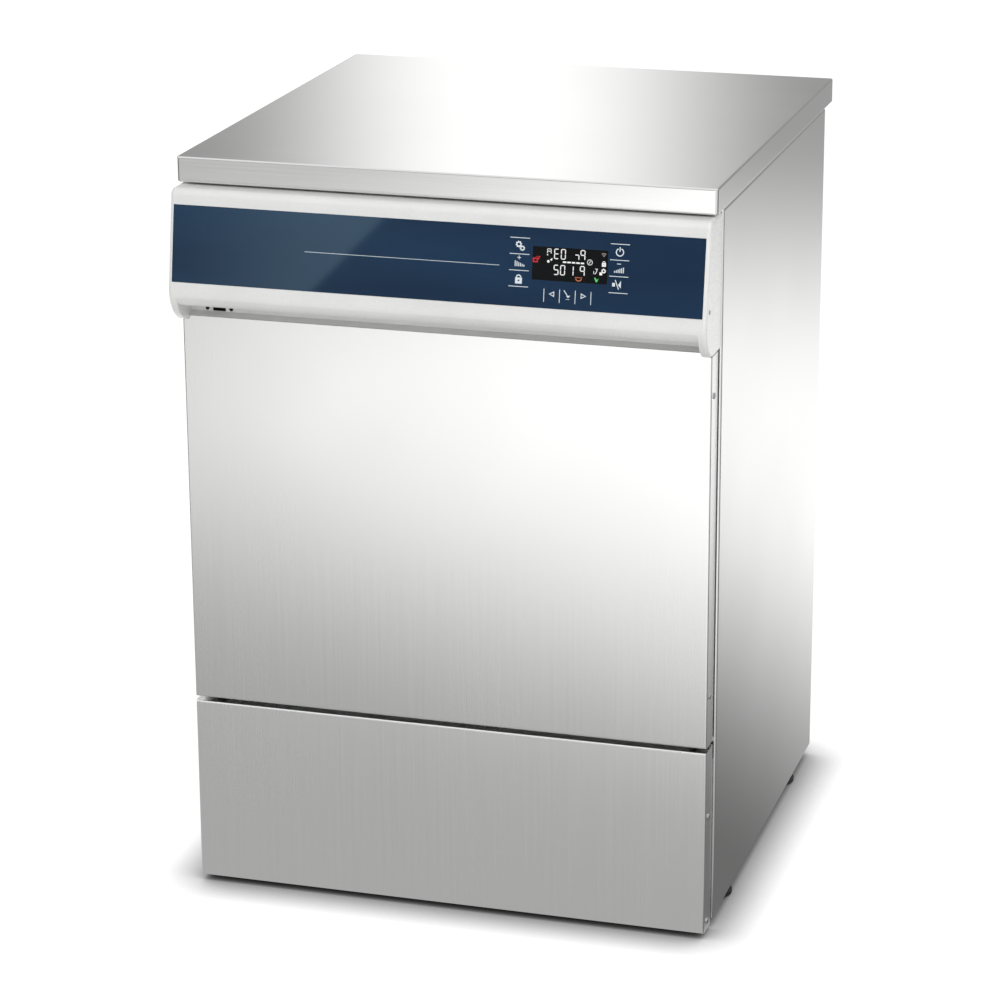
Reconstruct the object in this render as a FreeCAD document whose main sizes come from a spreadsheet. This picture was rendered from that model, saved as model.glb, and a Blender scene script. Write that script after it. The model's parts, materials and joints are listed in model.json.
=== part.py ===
import FreeCAD, Part
import math
import os
from types import SimpleNamespace

import Sketcher

# Laboratory washer-disinfector, free standing, with a drop-down front door.
# Frame: +Z up, the front looks along -Y, +X to the right of someone facing it. The origin is on the floor,
# in the middle of the width and of the whole depth, fascia included. All sizes are in millimetres.

# Driving sizes

SIZES = {
    # outer casing
    "worktop_width": 600,
    "worktop_depth": 606,
    "total_height": 850,
    "skirt_height": 28,
    "worktop_sheet": 1.2,
    "worktop_bend": 1.8,
    "worktop_corner": 4,
    "worktop_return": 18,
    "fascia_reach": 40,
    "cabinet_setback": 30,
    "rear_overhang": 43,
    "panel_bottom": 12.5,
    "panel_sheet": 1,
    "panel_return": 15,
    "panel_bend": 2.5,
    "rear_sheet": 1,
    "seat_gap": 0.3,
    "side_gap": 1.5,
    "vent_width": 70,
    "vent_height": 5,
    "vent_pitch": 16,
    "vent_rows": 6,
    # base and plinth
    "tray_wall": 1.5,
    "tray_height": 30,
    "plinth_bottom": 7.2,
    "plinth_height": 215.4,
    "plinth_depth": 29.6,
    "plinth_bracket_sheet": 1.5,
    "plinth_screw_low": 10.7,
    "plinth_screw_high": 136.1,
    "plinth_bracket_foot": 12,
    "foot_radius": 22.5,
    "foot_pad": 8,
    "foot_stud": 5,
    "foot_stud_length": 52,
    "foot_inset_side": 23,
    "foot_front": 94,
    "foot_rear": 97,
    "foot_nut": 9,
    "running_gap": 0.05,
    # door
    "door_inset": 3,
    "door_proud": 4,
    "door_depth": 29,
    "door_gap": 4.9,
    "door_top_gap": 2.2,
    "door_sheet": 1,
    "door_bend": 2,
    "skin_return": 14,
    "joint_gap": 0.4,
    "liner_gap": 0.2,
    "liner_bottom": 23,
    "liner_rise": 8,
    "liner_margin": 60,
    "liner_corner": 24,
    "insulation_margin": 30,
    # fascia
    "fascia_inset": 1.5,
    "fascia_height": 145.2,
    "fascia_wall": 3,
    "fascia_tilt": 9.46,
    "fascia_top_round": 9,
    "fascia_side_round": 4,
    "cheek_width": 9,
    "cheek_drop": 4.1,
    "cheek_round": 40,
    "lip_height": 18.4,
    "lip_rise": 20,
    "lip_run": 10,
    "lip_round": 18.6,
    "lip_thickness": 3,
    "grip_height": 14,
    "grip_back": 4,
    "grip_foot": 4.5,
    "insert_margin": 4.5,
    "insert_height": 83.7,
    "insert_foot": 7.8,
    "insert_thickness": 1.6,
    "insert_gap": 0.2,
    "display_width": 81.5,
    "display_height": 35.3,
    "display_depth": 5,
    "display_inset": 108,
    "display_foot": 37.1,
    "board_sheet": 1.6,
    "board_margin": 37,
    "board_width": 155,
    "port_inset": 42,
    "port_width": 14.5,
    "port_height": 5.2,
    "port_depth": 14,
    "port_screw_pitch": 13.8,
    "port_screw_head": 2.2,
    "small_screw_head": 3.4,
    "small_screw_shank": 1.9,
    # door hinge
    "hinge_inset": 10,
    "hinge_rise": 12.3,
    "hinge_pin": 4,
    "hinge_plate": 3,
    "hinge_side": 22.5,
    "hinge_seat_drop": 50,
    "hinge_seat_rise": 24,
    "hinge_eye": 8,
    "hinge_tail": 45,
    "hinge_tail_eye": 6,
    "hinge_slot": 10,
    "spring_radius": 6,
    "spring_hook": 1.6,
    # wash chamber
    "chamber_inset": 45,
    "rear_room": 35,
    "roof_gap": 24.8,
    "chamber_floor": 290,
    "chamber_corner": 20,
    "tub_sheet": 1,
    "frame_bottom": 268,
    "apron_inset": 28,
    "apron_overlap": 12,
    "apron_return": 14,
    "gasket_width": 12,
    "rail_height": 22,
    "rail_depth": 9,
    "rail_level": 470,
    "support_sheet": 2,
    "support_inset": 25,
    "support_length": 110,
    "support_rear": 40,
    # water circuit
    "sump_offset": 112,
    "sump_radius": 74,
    "sump_depth": 62,
    "sump_wall": 3,
    "sump_flange": 14,
    "suction_radius": 17,
    "filter_radius": 73.5,
    "filter_sheet": 1.5,
    "filter_hole": 2.6,
    "micro_radius": 30,
    "micro_length": 46,
    "arm_clearance": 27,
    "arm_width": 34,
    "arm_thickness": 11,
    "arm_hub": 30,
    "arm_stub": 9,
    "arm_level": 317,
    "upper_arm_drop": 35,
    "arm_collar": 15,
    "nozzle_count": 7,
    "nozzle_pitch": 26,
    "pipe_radius": 10,
    "pump_level": 150,
    "pump_radius": 55,
    "motor_radius": 40,
    "motor_length": 105,
    "drain_pump_radius": 26,
    "drain_level": 80,
    "drain_side": 190,
    "hose_radius": 9,
    "heater_rod": 4,
    "heater_level": 309,
    "heater_half_width": 150,
    "cap_radius": 32,
    "cap_height": 13,
    "cap_side": 50,
    "cap_front": 87.5,
    "tank_width": 120,
    "tank_depth": 118,
    "tank_left": 48,
    "tank_front": 40,
    "tank_gap": 22,
    # fittings
    "dispenser_width": 92,
    "dispenser_height": 116,
    "dispenser_level": 470,
    "dispenser_depth": 20,
    "lid_sheet": 3,
    "lid_barrel": 2.4,
    "lid_pin": 1.2,
    "lock_width": 44,
    "lock_height": 38,
    "lock_depth": 46,
    "bolt_radius": 3,
    "bolt_travel": 9,
    "strike_width": 18,
    "strike_sheet": 4,
    "condenser_width": 140,
    "condenser_height": 300,
    "condenser_depth": 28,
    "valve_thread": 13,
    "valve_pitch": 48,
    "valve_level": 110,
    "gland_radius": 11,
    "gland_level": 190,
    "dosing_head": 24,
    "dosing_pitch": 66,
}

doc = FreeCAD.newDocument("washer_disinfector")
sheet = doc.addObject("Spreadsheet::Sheet", "Sizes")
for row, (alias, number) in enumerate(SIZES.items(), start=1):
    sheet.set(f"A{row}", alias)
    sheet.set(f"B{row}", str(number))
    sheet.setAlias(f"B{row}", alias)
doc.recompute()


# Formulas: a Size carries a number together with the sheet formula that it comes from


class Size:
    def __init__(self, text, value):
        self.text = text
        self.value = float(value)

    def joined(self, sign, other, value):
        return Size(f"({self.text} {sign} {as_size(other).text})", value)

    def __add__(self, other):
        return self.joined("+", other, self.value + as_size(other).value)

    def __sub__(self, other):
        return self.joined("-", other, self.value - as_size(other).value)

    def __mul__(self, other):
        return self.joined("*", other, self.value * as_size(other).value)

    def __truediv__(self, other):
        return self.joined("/", other, self.value / as_size(other).value)

    def __neg__(self):
        return Size(f"(0 - {self.text})", -self.value)

    def __rsub__(self, other):
        return as_size(other) - self

    __radd__ = __add__
    __rmul__ = __mul__


def as_size(number):
    return number if isinstance(number, Size) else Size(repr(float(number)), number)


def sine(angle):
    return Size(f"sin({angle.text} * 1 deg)", math.sin(math.radians(angle.value)))


def cosine(angle):
    return Size(f"cos({angle.text} * 1 deg)", math.cos(math.radians(angle.value)))


def bind(thing, prop, size):
    thing.setExpression(prop, as_size(size).text)


S = SimpleNamespace(**{alias: Size(f"Sizes.{alias}", number) for alias, number in SIZES.items()})

# Planes that several pieces share

HALF = S.worktop_width / 2
FRONT = (S.fascia_reach - S.worktop_depth) / 2
DOOR_FACE = FRONT - S.door_proud
DOOR_BACK = DOOR_FACE + S.door_depth
CABINET_FACE = FRONT + S.cabinet_setback
CABINET_BACK = FRONT + S.worktop_depth - S.rear_overhang
CABINET_TOP = S.total_height - S.skirt_height
PLINTH_TOP = S.plinth_bottom + S.plinth_height
DOOR_BOTTOM = PLINTH_TOP + S.door_gap
DOOR_TOP = CABINET_TOP - S.door_top_gap
JOINT_LINE = DOOR_TOP - S.fascia_height
DOOR_HALF = HALF - S.door_inset
FASCIA_HALF = HALF - S.fascia_inset
INSERT_HALF = FASCIA_HALF - S.insert_margin
HINGE_X = HALF - S.hinge_side
HINGE_Y = DOOR_FACE + S.hinge_inset
HINGE_Z = DOOR_BOTTOM + S.hinge_rise
REAR_INNER = CABINET_BACK - S.panel_sheet - S.rear_sheet
TRAY_FLOOR = S.panel_bottom + S.panel_sheet
TRAY_TOP = TRAY_FLOOR + S.tray_wall
FRAME_PLANE = CABINET_FACE + S.panel_sheet
FRAME_BACK = FRAME_PLANE + S.tub_sheet
CHAMBER_HALF = HALF - S.chamber_inset
CHAMBER_ROOF = DOOR_TOP - S.roof_gap
TUB_BACK = REAR_INNER - S.rear_room
UNDER_TUB = S.chamber_floor - S.tub_sheet
ARM_Y = (FRAME_PLANE + TUB_BACK) / 2
SUMP_Y = ARM_Y - S.sump_offset
VOLUTE_HALF = S.pipe_radius + 8
UPPER_ARM_Z = CHAMBER_ROOF - S.upper_arm_drop

pieces = {}


def keep(name, thing):
    """Names a finished piece; its label is the name of its file."""
    thing.Label = name
    pieces[name] = thing
    return thing


# Primitives and booleans


def block(x, y, z):
    """A box between two values on each axis."""
    box = doc.addObject("Part::Box", "Block")
    for prop, base, (low, high) in (("Length", "x", x), ("Width", "y", y), ("Height", "z", z)):
        bind(box, f"Placement.Base.{base}", low)
        bind(box, prop, as_size(high) - low)
    return box


TURNS = {"X": ((0, 1, 0), 90), "Y": ((1, 0, 0), -90), "Z": ((0, 0, 1), 0)}


def along(thing, axis, centre, low):
    """Stands a round primitive on its axis: centre holds its other two coordinates, in X, Y, Z order."""
    direction, angle = TURNS[axis]
    thing.Placement = FreeCAD.Placement(FreeCAD.Vector(), FreeCAD.Rotation(FreeCAD.Vector(*direction), angle))
    others = [letter for letter in "xyz" if letter != axis.lower()]
    bind(thing, f"Placement.Base.{axis.lower()}", low)
    for letter, position in zip(others, centre):
        bind(thing, f"Placement.Base.{letter}", position)
    return thing


def rod(axis, centre, radius, span):
    cylinder = doc.addObject("Part::Cylinder", "Rod")
    bind(cylinder, "Radius", radius)
    bind(cylinder, "Height", as_size(span[1]) - span[0])
    return along(cylinder, axis, centre, span[0])


def taper(axis, centre, radii, span):
    cone = doc.addObject("Part::Cone", "Taper")
    bind(cone, "Radius1", radii[0])
    bind(cone, "Radius2", radii[1])
    bind(cone, "Height", as_size(span[1]) - span[0])
    return along(cone, axis, centre, span[0])


def merged(*parts):
    fuse = doc.addObject("Part::MultiFuse", "Merged")
    fuse.Shapes = list(parts)
    fuse.Refine = True
    return fuse


def carved(base, *tools):
    cut = doc.addObject("Part::Cut", "Carved")
    cut.Base = base
    cut.Tool = tools[0] if len(tools) == 1 else merged(*tools)
    cut.Refine = True
    return cut


def mirrored(source):
    """The same piece on the other side of the middle plane."""
    mirror = doc.addObject("Part::Mirroring", "Mirrored")
    mirror.Source = source
    mirror.Normal = FreeCAD.Vector(1, 0, 0)
    return mirror


def span_of(edge):
    box = edge.BoundBox
    return {"x": box.XLength, "y": box.YLength, "z": box.ZLength}


def runs(edge, axis, shortest=2):
    """True for an edge that runs along one axis."""
    span = span_of(edge)
    return span[axis] > shortest and all(span[other] < 0.01 for other in "xyz" if other != axis)


def eased(base, radius, chosen):
    """Rounds the chosen edges of a solid."""
    doc.recompute()
    fillet = doc.addObject("Part::Fillet", "Eased")
    fillet.Base = base
    value = as_size(radius).value
    fillet.Edges = [(i, value, value) for i, edge in enumerate(base.Shape.Edges, start=1) if chosen(edge)]
    return fillet


# Bodies made from sketches


def new_body(name):
    body = doc.addObject("PartDesign::Body", f"{name}_body")
    return keep(name, body)


def segment(sketch, start, end, radius):
    """A straight edge, or an arc that bulges to the right of its travel for a positive radius."""
    if radius is None:
        return sketch.addGeometry(Part.LineSegment(start, end), False)
    chord = end - start
    side = FreeCAD.Vector(-chord.y, chord.x, 0).normalize() * math.copysign(1, radius.value)
    rise = math.sqrt(max(radius.value**2 - chord.Length**2 / 4, 0))
    centre = (start + end) * 0.5 + side * rise
    turn = [math.atan2(point.y - centre.y, point.x - centre.x) for point in (start, end)]
    if radius.value < 0:
        turn.reverse()
    circle = Part.Circle(centre, FreeCAD.Vector(0, 0, 1), abs(radius.value))
    return sketch.addGeometry(Part.ArcOfCircle(circle, *turn), False)


def add_loop(sketch, corners):
    """A closed outline; each corner is (u, v), or (u, v, radius) where an arc leads to the next corner."""
    points = [(as_size(corner[0]), as_size(corner[1])) for corner in corners]
    radii = [as_size(corner[2]) if len(corner) > 2 else None for corner in corners]
    vectors = [FreeCAD.Vector(u.value, v.value, 0) for u, v in points]
    edges = []
    for i, radius in enumerate(radii):
        edges.append(segment(sketch, vectors[i], vectors[(i + 1) % len(vectors)], radius))
    starts = [2 if radius is not None and radius.value < 0 else 1 for radius in radii]
    for i, edge in enumerate(edges):
        after = (i + 1) % len(edges)
        sketch.addConstraint(Sketcher.Constraint("Coincident", edge, 3 - starts[i], edges[after], starts[after]))
    for edge, start, (u, v), radius in zip(edges, starts, points, radii):
        for kind, size in (("DistanceX", u), ("DistanceY", v)):
            index = sketch.addConstraint(Sketcher.Constraint(kind, -1, 1, edge, start, size.value))
            bind(sketch, f"Constraints[{index}]", size)
        if radius is not None:
            index = sketch.addConstraint(Sketcher.Constraint("Radius", edge, abs(radius.value)))
            bind(sketch, f"Constraints[{index}]", radius if radius.value > 0 else -radius)


def add_circle(sketch, u, v, radius):
    centre = FreeCAD.Vector(as_size(u).value, as_size(v).value, 0)
    circle = sketch.addGeometry(Part.Circle(centre, FreeCAD.Vector(0, 0, 1), as_size(radius).value), False)
    for kind, size in (("DistanceX", u), ("DistanceY", v)):
        index = sketch.addConstraint(Sketcher.Constraint(kind, -1, 1, circle, 3, as_size(size).value))
        bind(sketch, f"Constraints[{index}]", size)
    index = sketch.addConstraint(Sketcher.Constraint("Radius", circle, as_size(radius).value))
    bind(sketch, f"Constraints[{index}]", radius)


def new_sketch(body, plane, offset=0):
    """A sketch on one of the body's origin planes: XY looks down, YZ has +X as its normal, XZ has -Y."""
    sketch = body.newObject("Sketcher::SketchObject", "Sketch")
    origin = next(item for item in body.Origin.OriginFeatures if item.Role == f"{plane}_Plane")
    sketch.AttachmentSupport = [(origin, "")]
    sketch.MapMode = "FlatFace"
    bind(sketch, "AttachmentOffset.Base.z", offset)
    return sketch


def extruded(body, kind, sketch, length, middle=False, back=False):
    feature = body.newObject(f"PartDesign::{kind}", kind)
    feature.Profile = sketch
    feature.Midplane = middle
    feature.Reversed = back
    bind(feature, "Length", length)
    doc.recompute()
    return feature


def revolved(body, sketch):
    """Turns an XZ outline about the sketch's own vertical axis."""
    feature = body.newObject("PartDesign::Revolution", "Revolution")
    feature.Profile = sketch
    feature.ReferenceAxis = (sketch, ["V_Axis"])
    feature.Angle = 360
    doc.recompute()
    return feature


def rounded(body, radius, chosen):
    """A fillet on the chosen edges of the body as it stands."""
    base = body.Tip
    names = [f"Edge{i}" for i, edge in enumerate(base.Shape.Edges, start=1) if chosen(edge)]
    feature = body.newObject("PartDesign::Fillet", "Fillet")
    feature.Base = (base, names)
    bind(feature, "Radius", radius)
    doc.recompute()
    return feature


def shelled(body, wall, open_faces):
    """Hollows the body to one wall thickness, leaving the chosen faces open."""
    base = body.Tip
    names = [f"Face{i}" for i, face in enumerate(base.Shape.Faces, start=1) if open_faces(face)]
    feature = body.newObject("PartDesign::Thickness", "Thickness")
    feature.Base = (base, names)
    feature.Mode = 0
    feature.Join = 0
    feature.Reversed = True
    bind(feature, "Value", wall)
    doc.recompute()
    return feature


def rectangle(u, v):
    return [(u[0], v[0]), (u[1], v[0]), (u[1], v[1]), (u[0], v[1])]


def soft_rectangle(u, v, radius):
    """A rectangle with round corners, counter-clockwise."""
    (left, right), (low, high) = u, v
    return [
        (left + radius, low),
        (right - radius, low, radius),
        (right, low + radius),
        (right, high - radius, radius),
        (right - radius, high),
        (left + radius, high, radius),
        (left, high - radius),
        (left, low + radius, radius),
    ]


def flat(face, axis, position):
    """True for a face that lies at one position on an axis."""
    box = face.BoundBox
    low, high = {"x": (box.XMin, box.XMax), "y": (box.YMin, box.YMax), "z": (box.ZMin, box.ZMax)}[axis]
    return abs(low - position.value) < 0.01 and abs(high - position.value) < 0.01


def folded_tray(name, x, y, z, wall, bend, open_axis, open_at, bent):
    """A folded sheet tray: a box with the chosen edges bent round, hollowed from one open side."""
    body = new_body(name)
    sketch = new_sketch(body, "XY", z[0])
    add_loop(sketch, rectangle(x, y))
    extruded(body, "Pad", sketch, z[1] - z[0])
    rounded(body, bend, bent)
    shelled(body, wall, lambda face: flat(face, open_axis, open_at))
    return body


# Worktop: a folded lid with a skirt and a return edge all round


def make_worktop():
    x = (-HALF, HALF)
    y = (FRONT, FRONT + S.worktop_depth)
    z = (CABINET_TOP, S.total_height)
    wall = S.worktop_sheet
    lid = eased(block(x, y, z), S.worktop_corner, lambda edge: runs(edge, "z"))
    lid = eased(lid, S.worktop_bend, lambda edge: edge.BoundBox.ZLength < 1e-6)
    hollow = block(
        (x[0] + wall, x[1] - wall),
        (y[0] + wall, y[1] - wall),
        (z[0] + wall, z[1] - wall),
    )
    edge_return = S.worktop_return
    mouth = block(
        (x[0] + edge_return, x[1] - edge_return),
        (y[0] + edge_return, y[1] - edge_return),
        (z[0] - 1, z[0] + wall + 1),
    )
    hollow = eased(hollow, S.worktop_corner - wall, lambda edge: runs(edge, "z"))
    hollow = eased(hollow, S.worktop_bend - wall, lambda edge: edge.BoundBox.ZLength < 1e-6)
    keep("worktop", carved(lid, hollow, mouth))


# Side panels: folded trays, open towards the inside


def make_side_panels():
    inner = HALF - S.panel_return
    tray = folded_tray(
        "side_tray",
        (inner, HALF),
        (CABINET_FACE, CABINET_BACK),
        (S.panel_bottom, CABINET_TOP),
        S.panel_sheet,
        S.panel_bend,
        "x",
        inner,
        lambda edge: flat(edge, "x", HALF),
    )
    del pieces["side_tray"]
    slot_low = HINGE_Z + 3
    slot = block(
        (HALF - 8, HALF - 3.5),
        (CABINET_FACE - 1, CABINET_FACE + S.panel_sheet + 1),
        (slot_low, slot_low + 13),
    )
    right = keep("side_panel_right", carved(tray, slot))
    keep("side_panel_left", mirrored(right))


# Rear panel: sheet with vent slots and holes for the service connections


def service_holes():
    """Centres and radii of the holes for valves, drain and cable, seen from the front."""
    holes = [(VALVE_X[i], S.valve_level, S.valve_thread + S.seat_gap) for i in range(len(VALVE_X))]
    holes.append((S.drain_side, S.drain_level, S.hose_radius + 1 + S.seat_gap))
    holes.append((GLAND_X, S.gland_level, S.gland_radius - 3))
    return holes


VALVE_X = [-(S.valve_pitch * 4.5), -(S.valve_pitch * 3.5), -(S.valve_pitch * 2.5)]
GLAND_X = HALF - 55


def make_rear_panel():
    body = new_body("rear_panel")
    sketch = new_sketch(body, "XZ", -REAR_INNER)
    reach = HALF - S.panel_sheet - S.side_gap
    add_loop(sketch, rectangle((-reach, reach), (TRAY_FLOOR + S.seat_gap, CABINET_TOP - S.panel_sheet)))
    for u, v, radius in service_holes():
        add_circle(sketch, u, v, radius)
    extruded(body, "Pad", sketch, S.rear_sheet, back=True)
    vent = new_sketch(body, "XZ", -REAR_INNER)
    low = S.total_height * 0.62
    for side in (-1, 1):
        middle = side * HALF / 2
        add_loop(
            vent,
            soft_rectangle(
                (middle - S.vent_width / 2, middle + S.vent_width / 2),
                (low, low + S.vent_height),
                S.vent_height / 2.001,
            ),
        )
    pocket = extruded(body, "Pocket", vent, S.rear_sheet * 4, middle=True)
    rows = body.newObject("PartDesign::LinearPattern", "VentRows")
    rows.Originals = [pocket]
    rows.Direction = (vent, ["V_Axis"])
    rows.Occurrences = int(S.vent_rows.value)
    bind(rows, "Length", S.vent_pitch * (S.vent_rows - 1))
    body.Tip = rows


# Base: tray with a nut for each foot, and the brackets that carry the plinth panel


FOOT_X = HALF - S.foot_inset_side
FOOT_Y = {"front": CABINET_FACE + S.foot_front, "rear": CABINET_BACK - S.foot_rear}


def make_base_tray():
    reach = HALF - S.panel_sheet - S.side_gap
    x = (-reach, reach)
    y = (CABINET_FACE + S.panel_sheet, REAR_INNER - S.seat_gap)
    z = (TRAY_FLOOR, TRAY_FLOOR + S.tray_height)
    wall = S.tray_wall
    shell = carved(
        block(x, y, z),
        block((x[0] + wall, x[1] - wall), (y[0] + wall, y[1] - wall), (z[0] + wall, z[1] + 1)),
    )
    bore = S.foot_stud + S.running_gap
    nuts = []
    bores = []
    for side in (-1, 1):
        for place in FOOT_Y.values():
            nuts.append(rod("Z", (side * FOOT_X, place), S.foot_nut, (z[0], z[0] + 16)))
            bores.append(rod("Z", (side * FOOT_X, place), bore, (z[0] - 1, z[0] + 17)))
    keep("base_tray", carved(merged(shell, *nuts), *bores))


def make_feet():
    for side_name, side in (("left", -1), ("right", 1)):
        for place_name, place in FOOT_Y.items():
            body = new_body(f"foot_{place_name}_{side_name}")
            sketch = new_sketch(body, "XZ")
            rim = S.foot_radius
            pad = S.foot_pad
            neck = S.foot_stud + 3
            add_loop(
                sketch,
                [
                    (0, 0),
                    (rim - 2, 0),
                    (rim, 2),
                    (rim, pad - 3),
                    (rim - 6, pad - 1),
                    (neck, pad),
                    (neck, pad + 3),
                    (S.foot_stud, pad + 3),
                    (S.foot_stud, S.foot_stud_length - 1),
                    (S.foot_stud - 1, S.foot_stud_length),
                    (0, S.foot_stud_length),
                ],
            )
            revolved(body, sketch)
            bind(body, "Placement.Base.x", side * FOOT_X)
            bind(body, "Placement.Base.y", place)


PLINTH_SCREW_Z = (S.plinth_bottom + S.plinth_screw_low, S.plinth_bottom + S.plinth_screw_high)
PLINTH_SCREW_Y = DOOR_FACE + 13


def make_plinth():
    tray = folded_tray(
        "plinth_tray",
        (-DOOR_HALF, DOOR_HALF),
        (DOOR_FACE, DOOR_FACE + S.plinth_depth),
        (S.plinth_bottom, PLINTH_TOP),
        S.door_sheet,
        S.door_bend,
        "y",
        DOOR_FACE + S.plinth_depth,
        lambda edge: flat(edge, "y", DOOR_FACE),
    )
    del pieces["plinth_tray"]
    inner = DOOR_HALF - S.door_sheet
    holes = []
    heads = []
    for side in (-1, 1):
        for level in PLINTH_SCREW_Z:
            centre = (PLINTH_SCREW_Y, level)
            outer = (side * DOOR_HALF, side * (DOOR_HALF + 1.8))
            shank = (side * (inner - S.plinth_bracket_sheet), side * DOOR_HALF)
            bore = (side * (inner - 20), side * (DOOR_HALF + 1))
            holes.append(rod("X", centre, S.small_screw_shank + S.running_gap, sorted(bore, key=by_value)))
            head = rod("X", centre, S.small_screw_head, sorted(outer, key=by_value))
            heads.append(merged(head, rod("X", centre, S.small_screw_shank, sorted(shank, key=by_value))))
    keep("plinth_panel", carved(tray, *holes))
    group = doc.addObject("Part::Compound", "PlinthScrews")
    group.Links = heads
    keep("plinth_screws", group)
    brackets = []
    plate = S.plinth_bracket_sheet
    for side in (-1, 1):
        z = (S.plinth_bottom + 6, PLINTH_TOP - 20)
        arm = block(ordered(side * (inner - plate), side * inner), (DOOR_FACE + 5, CABINET_FACE), z)
        foot_x = ordered(side * (inner - S.plinth_bracket_foot), side * inner)
        brackets.append(carved(merged(arm, block(foot_x, (CABINET_FACE - plate, CABINET_FACE), z)), *holes))
    group = doc.addObject("Part::Compound", "PlinthBrackets")
    group.Links = brackets
    keep("plinth_brackets", group)


def by_value(size):
    return as_size(size).value


def ordered(first, second):
    """The two ends of a span, low end first."""
    return tuple(sorted((as_size(first), as_size(second)), key=by_value))


# Door: folded skin, pressed liner, insulation


SKIN_SCREWS = ((JOINT_LINE - DOOR_BOTTOM) * 0.89, (JOINT_LINE - DOOR_BOTTOM) * 0.13)


def make_door_skin():
    tray = folded_tray(
        "skin_tray",
        (-DOOR_HALF, DOOR_HALF),
        (DOOR_FACE, DOOR_BACK),
        (DOOR_BOTTOM, JOINT_LINE),
        S.door_sheet,
        S.door_bend,
        "y",
        DOOR_BACK,
        lambda edge: flat(edge, "y", DOOR_FACE) and edge.BoundBox.ZMin < JOINT_LINE.value - 1,
    )
    del pieces["skin_tray"]
    cuts = []
    screws = []
    for side in (-1, 1):
        corner = FASCIA_HALF - S.cheek_width - S.seat_gap
        cuts.append(
            block(
                ordered(side * corner, side * HALF),
                (DOOR_FACE - 5, DOOR_BACK + 5),
                (JOINT_LINE - S.cheek_drop - S.seat_gap, JOINT_LINE + 5),
            )
        )
        slot_middle = side * (HINGE_X + S.hinge_plate / 2 + 0.5)
        cuts.append(
            block(
                ordered(slot_middle - S.hinge_slot / 2, slot_middle + S.hinge_slot / 2),
                (DOOR_FACE + S.door_sheet, DOOR_BACK + 5),
                (DOOR_BOTTOM - 5, DOOR_BOTTOM + S.door_sheet + 2),
            )
        )
        for rise in SKIN_SCREWS:
            centre = (DOOR_FACE + 12, DOOR_BOTTOM + rise)
            head = rod("X", centre, S.small_screw_head, ordered(side * DOOR_HALF, side * (DOOR_HALF + 1.4)))
            inner = DOOR_HALF - S.door_sheet * 4
            shank = rod("X", centre, S.small_screw_shank, ordered(side * inner, side * DOOR_HALF))
            screws.append(merged(head, shank))
            bore = ordered(side * (DOOR_HALF - 3), side * HALF)
            cuts.append(rod("X", centre, S.small_screw_shank + S.running_gap, bore))
    fold_end = DOOR_FACE + S.skin_return
    cuts.append(
        block((-HALF, HALF), (fold_end, DOOR_BACK + 5), (JOINT_LINE - S.door_sheet - 0.2, JOINT_LINE + 5))
    )
    keep("door_skin", carved(tray, *cuts))
    group = doc.addObject("Part::Compound", "DoorScrews")
    group.Links = screws
    keep("door_screws", group)


DISPENSER_X = (-S.dispenser_width / 2, S.dispenser_width / 2)
DISPENSER_Z = (S.dispenser_level, S.dispenser_level + S.dispenser_height)


def make_door_liner():
    body = new_body("door_liner")
    reach = DOOR_HALF - S.door_sheet - S.liner_gap
    low = DOOR_BOTTOM + S.liner_bottom
    high = DOOR_TOP - S.fascia_wall - S.seat_gap
    base = new_sketch(body, "XZ", -DOOR_BACK)
    add_loop(base, rectangle((-reach, reach), (low, high)))
    extruded(body, "Pad", base, S.door_sheet)
    raised = new_sketch(body, "XZ", -DOOR_BACK)
    x = (-reach + S.liner_margin, reach - S.liner_margin)
    z = (low + S.liner_margin, high - S.liner_margin / 1.5)
    add_loop(raised, soft_rectangle(x, z, S.liner_corner))
    extruded(body, "Pad", raised, S.liner_rise, back=True)
    top_face = DOOR_BACK + S.liner_rise
    wall = S.door_sheet
    rounded(body, wall * 2.5, lambda edge: flat(edge, "y", top_face))
    hollow = new_sketch(body, "XZ", -(DOOR_BACK - wall))
    inner = [(x[0] + wall, x[1] - wall), (z[0] + wall, z[1] - wall)]
    add_loop(hollow, soft_rectangle(*inner, S.liner_corner - wall))
    extruded(body, "Pocket", hollow, S.liner_rise)
    window = new_sketch(body, "XZ", -DOOR_BACK)
    gap = S.seat_gap
    add_loop(
        window,
        rectangle(
            (DISPENSER_X[0] - gap, DISPENSER_X[1] + gap),
            (DISPENSER_Z[0] - gap, DISPENSER_Z[1] + gap),
        ),
    )
    extruded(body, "Pocket", window, S.liner_rise * 4, middle=True)


def make_door_insulation():
    reach = DOOR_HALF - S.insulation_margin
    slab = block(
        (-reach, reach),
        (DOOR_FACE + S.door_sheet + S.seat_gap, DOOR_BACK - S.door_sheet - S.seat_gap),
        (DOOR_BOTTOM + S.liner_margin, JOINT_LINE - S.insulation_margin),
    )
    gap = S.seat_gap
    room = block(
        (DISPENSER_X[0] - gap, DISPENSER_X[1] + gap),
        (DISPENSER_BASE - gap, DOOR_BACK + 5),
        (DISPENSER_Z[0] - gap, DISPENSER_Z[1] + gap),
    )
    keep("door_insulation", carved(slab, room))


# Fascia: one white moulding with a tilted face, a finger recess under its lip and a cheek at each end


TILT_SLOPE = sine(S.fascia_tilt) / cosine(S.fascia_tilt)
LIP_Z = JOINT_LINE + S.lip_height
LIP_START = LIP_Z + S.lip_rise
FASCIA_BACK = CABINET_FACE - 2
CHEEK_BOTTOM = JOINT_LINE - S.cheek_drop


def slope_y(z, inset=0):
    """Where the tilted front face lies at a height, or a plane some way behind it."""
    return FRONT - S.fascia_reach + (z - LIP_START) * TILT_SLOPE + inset


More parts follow.
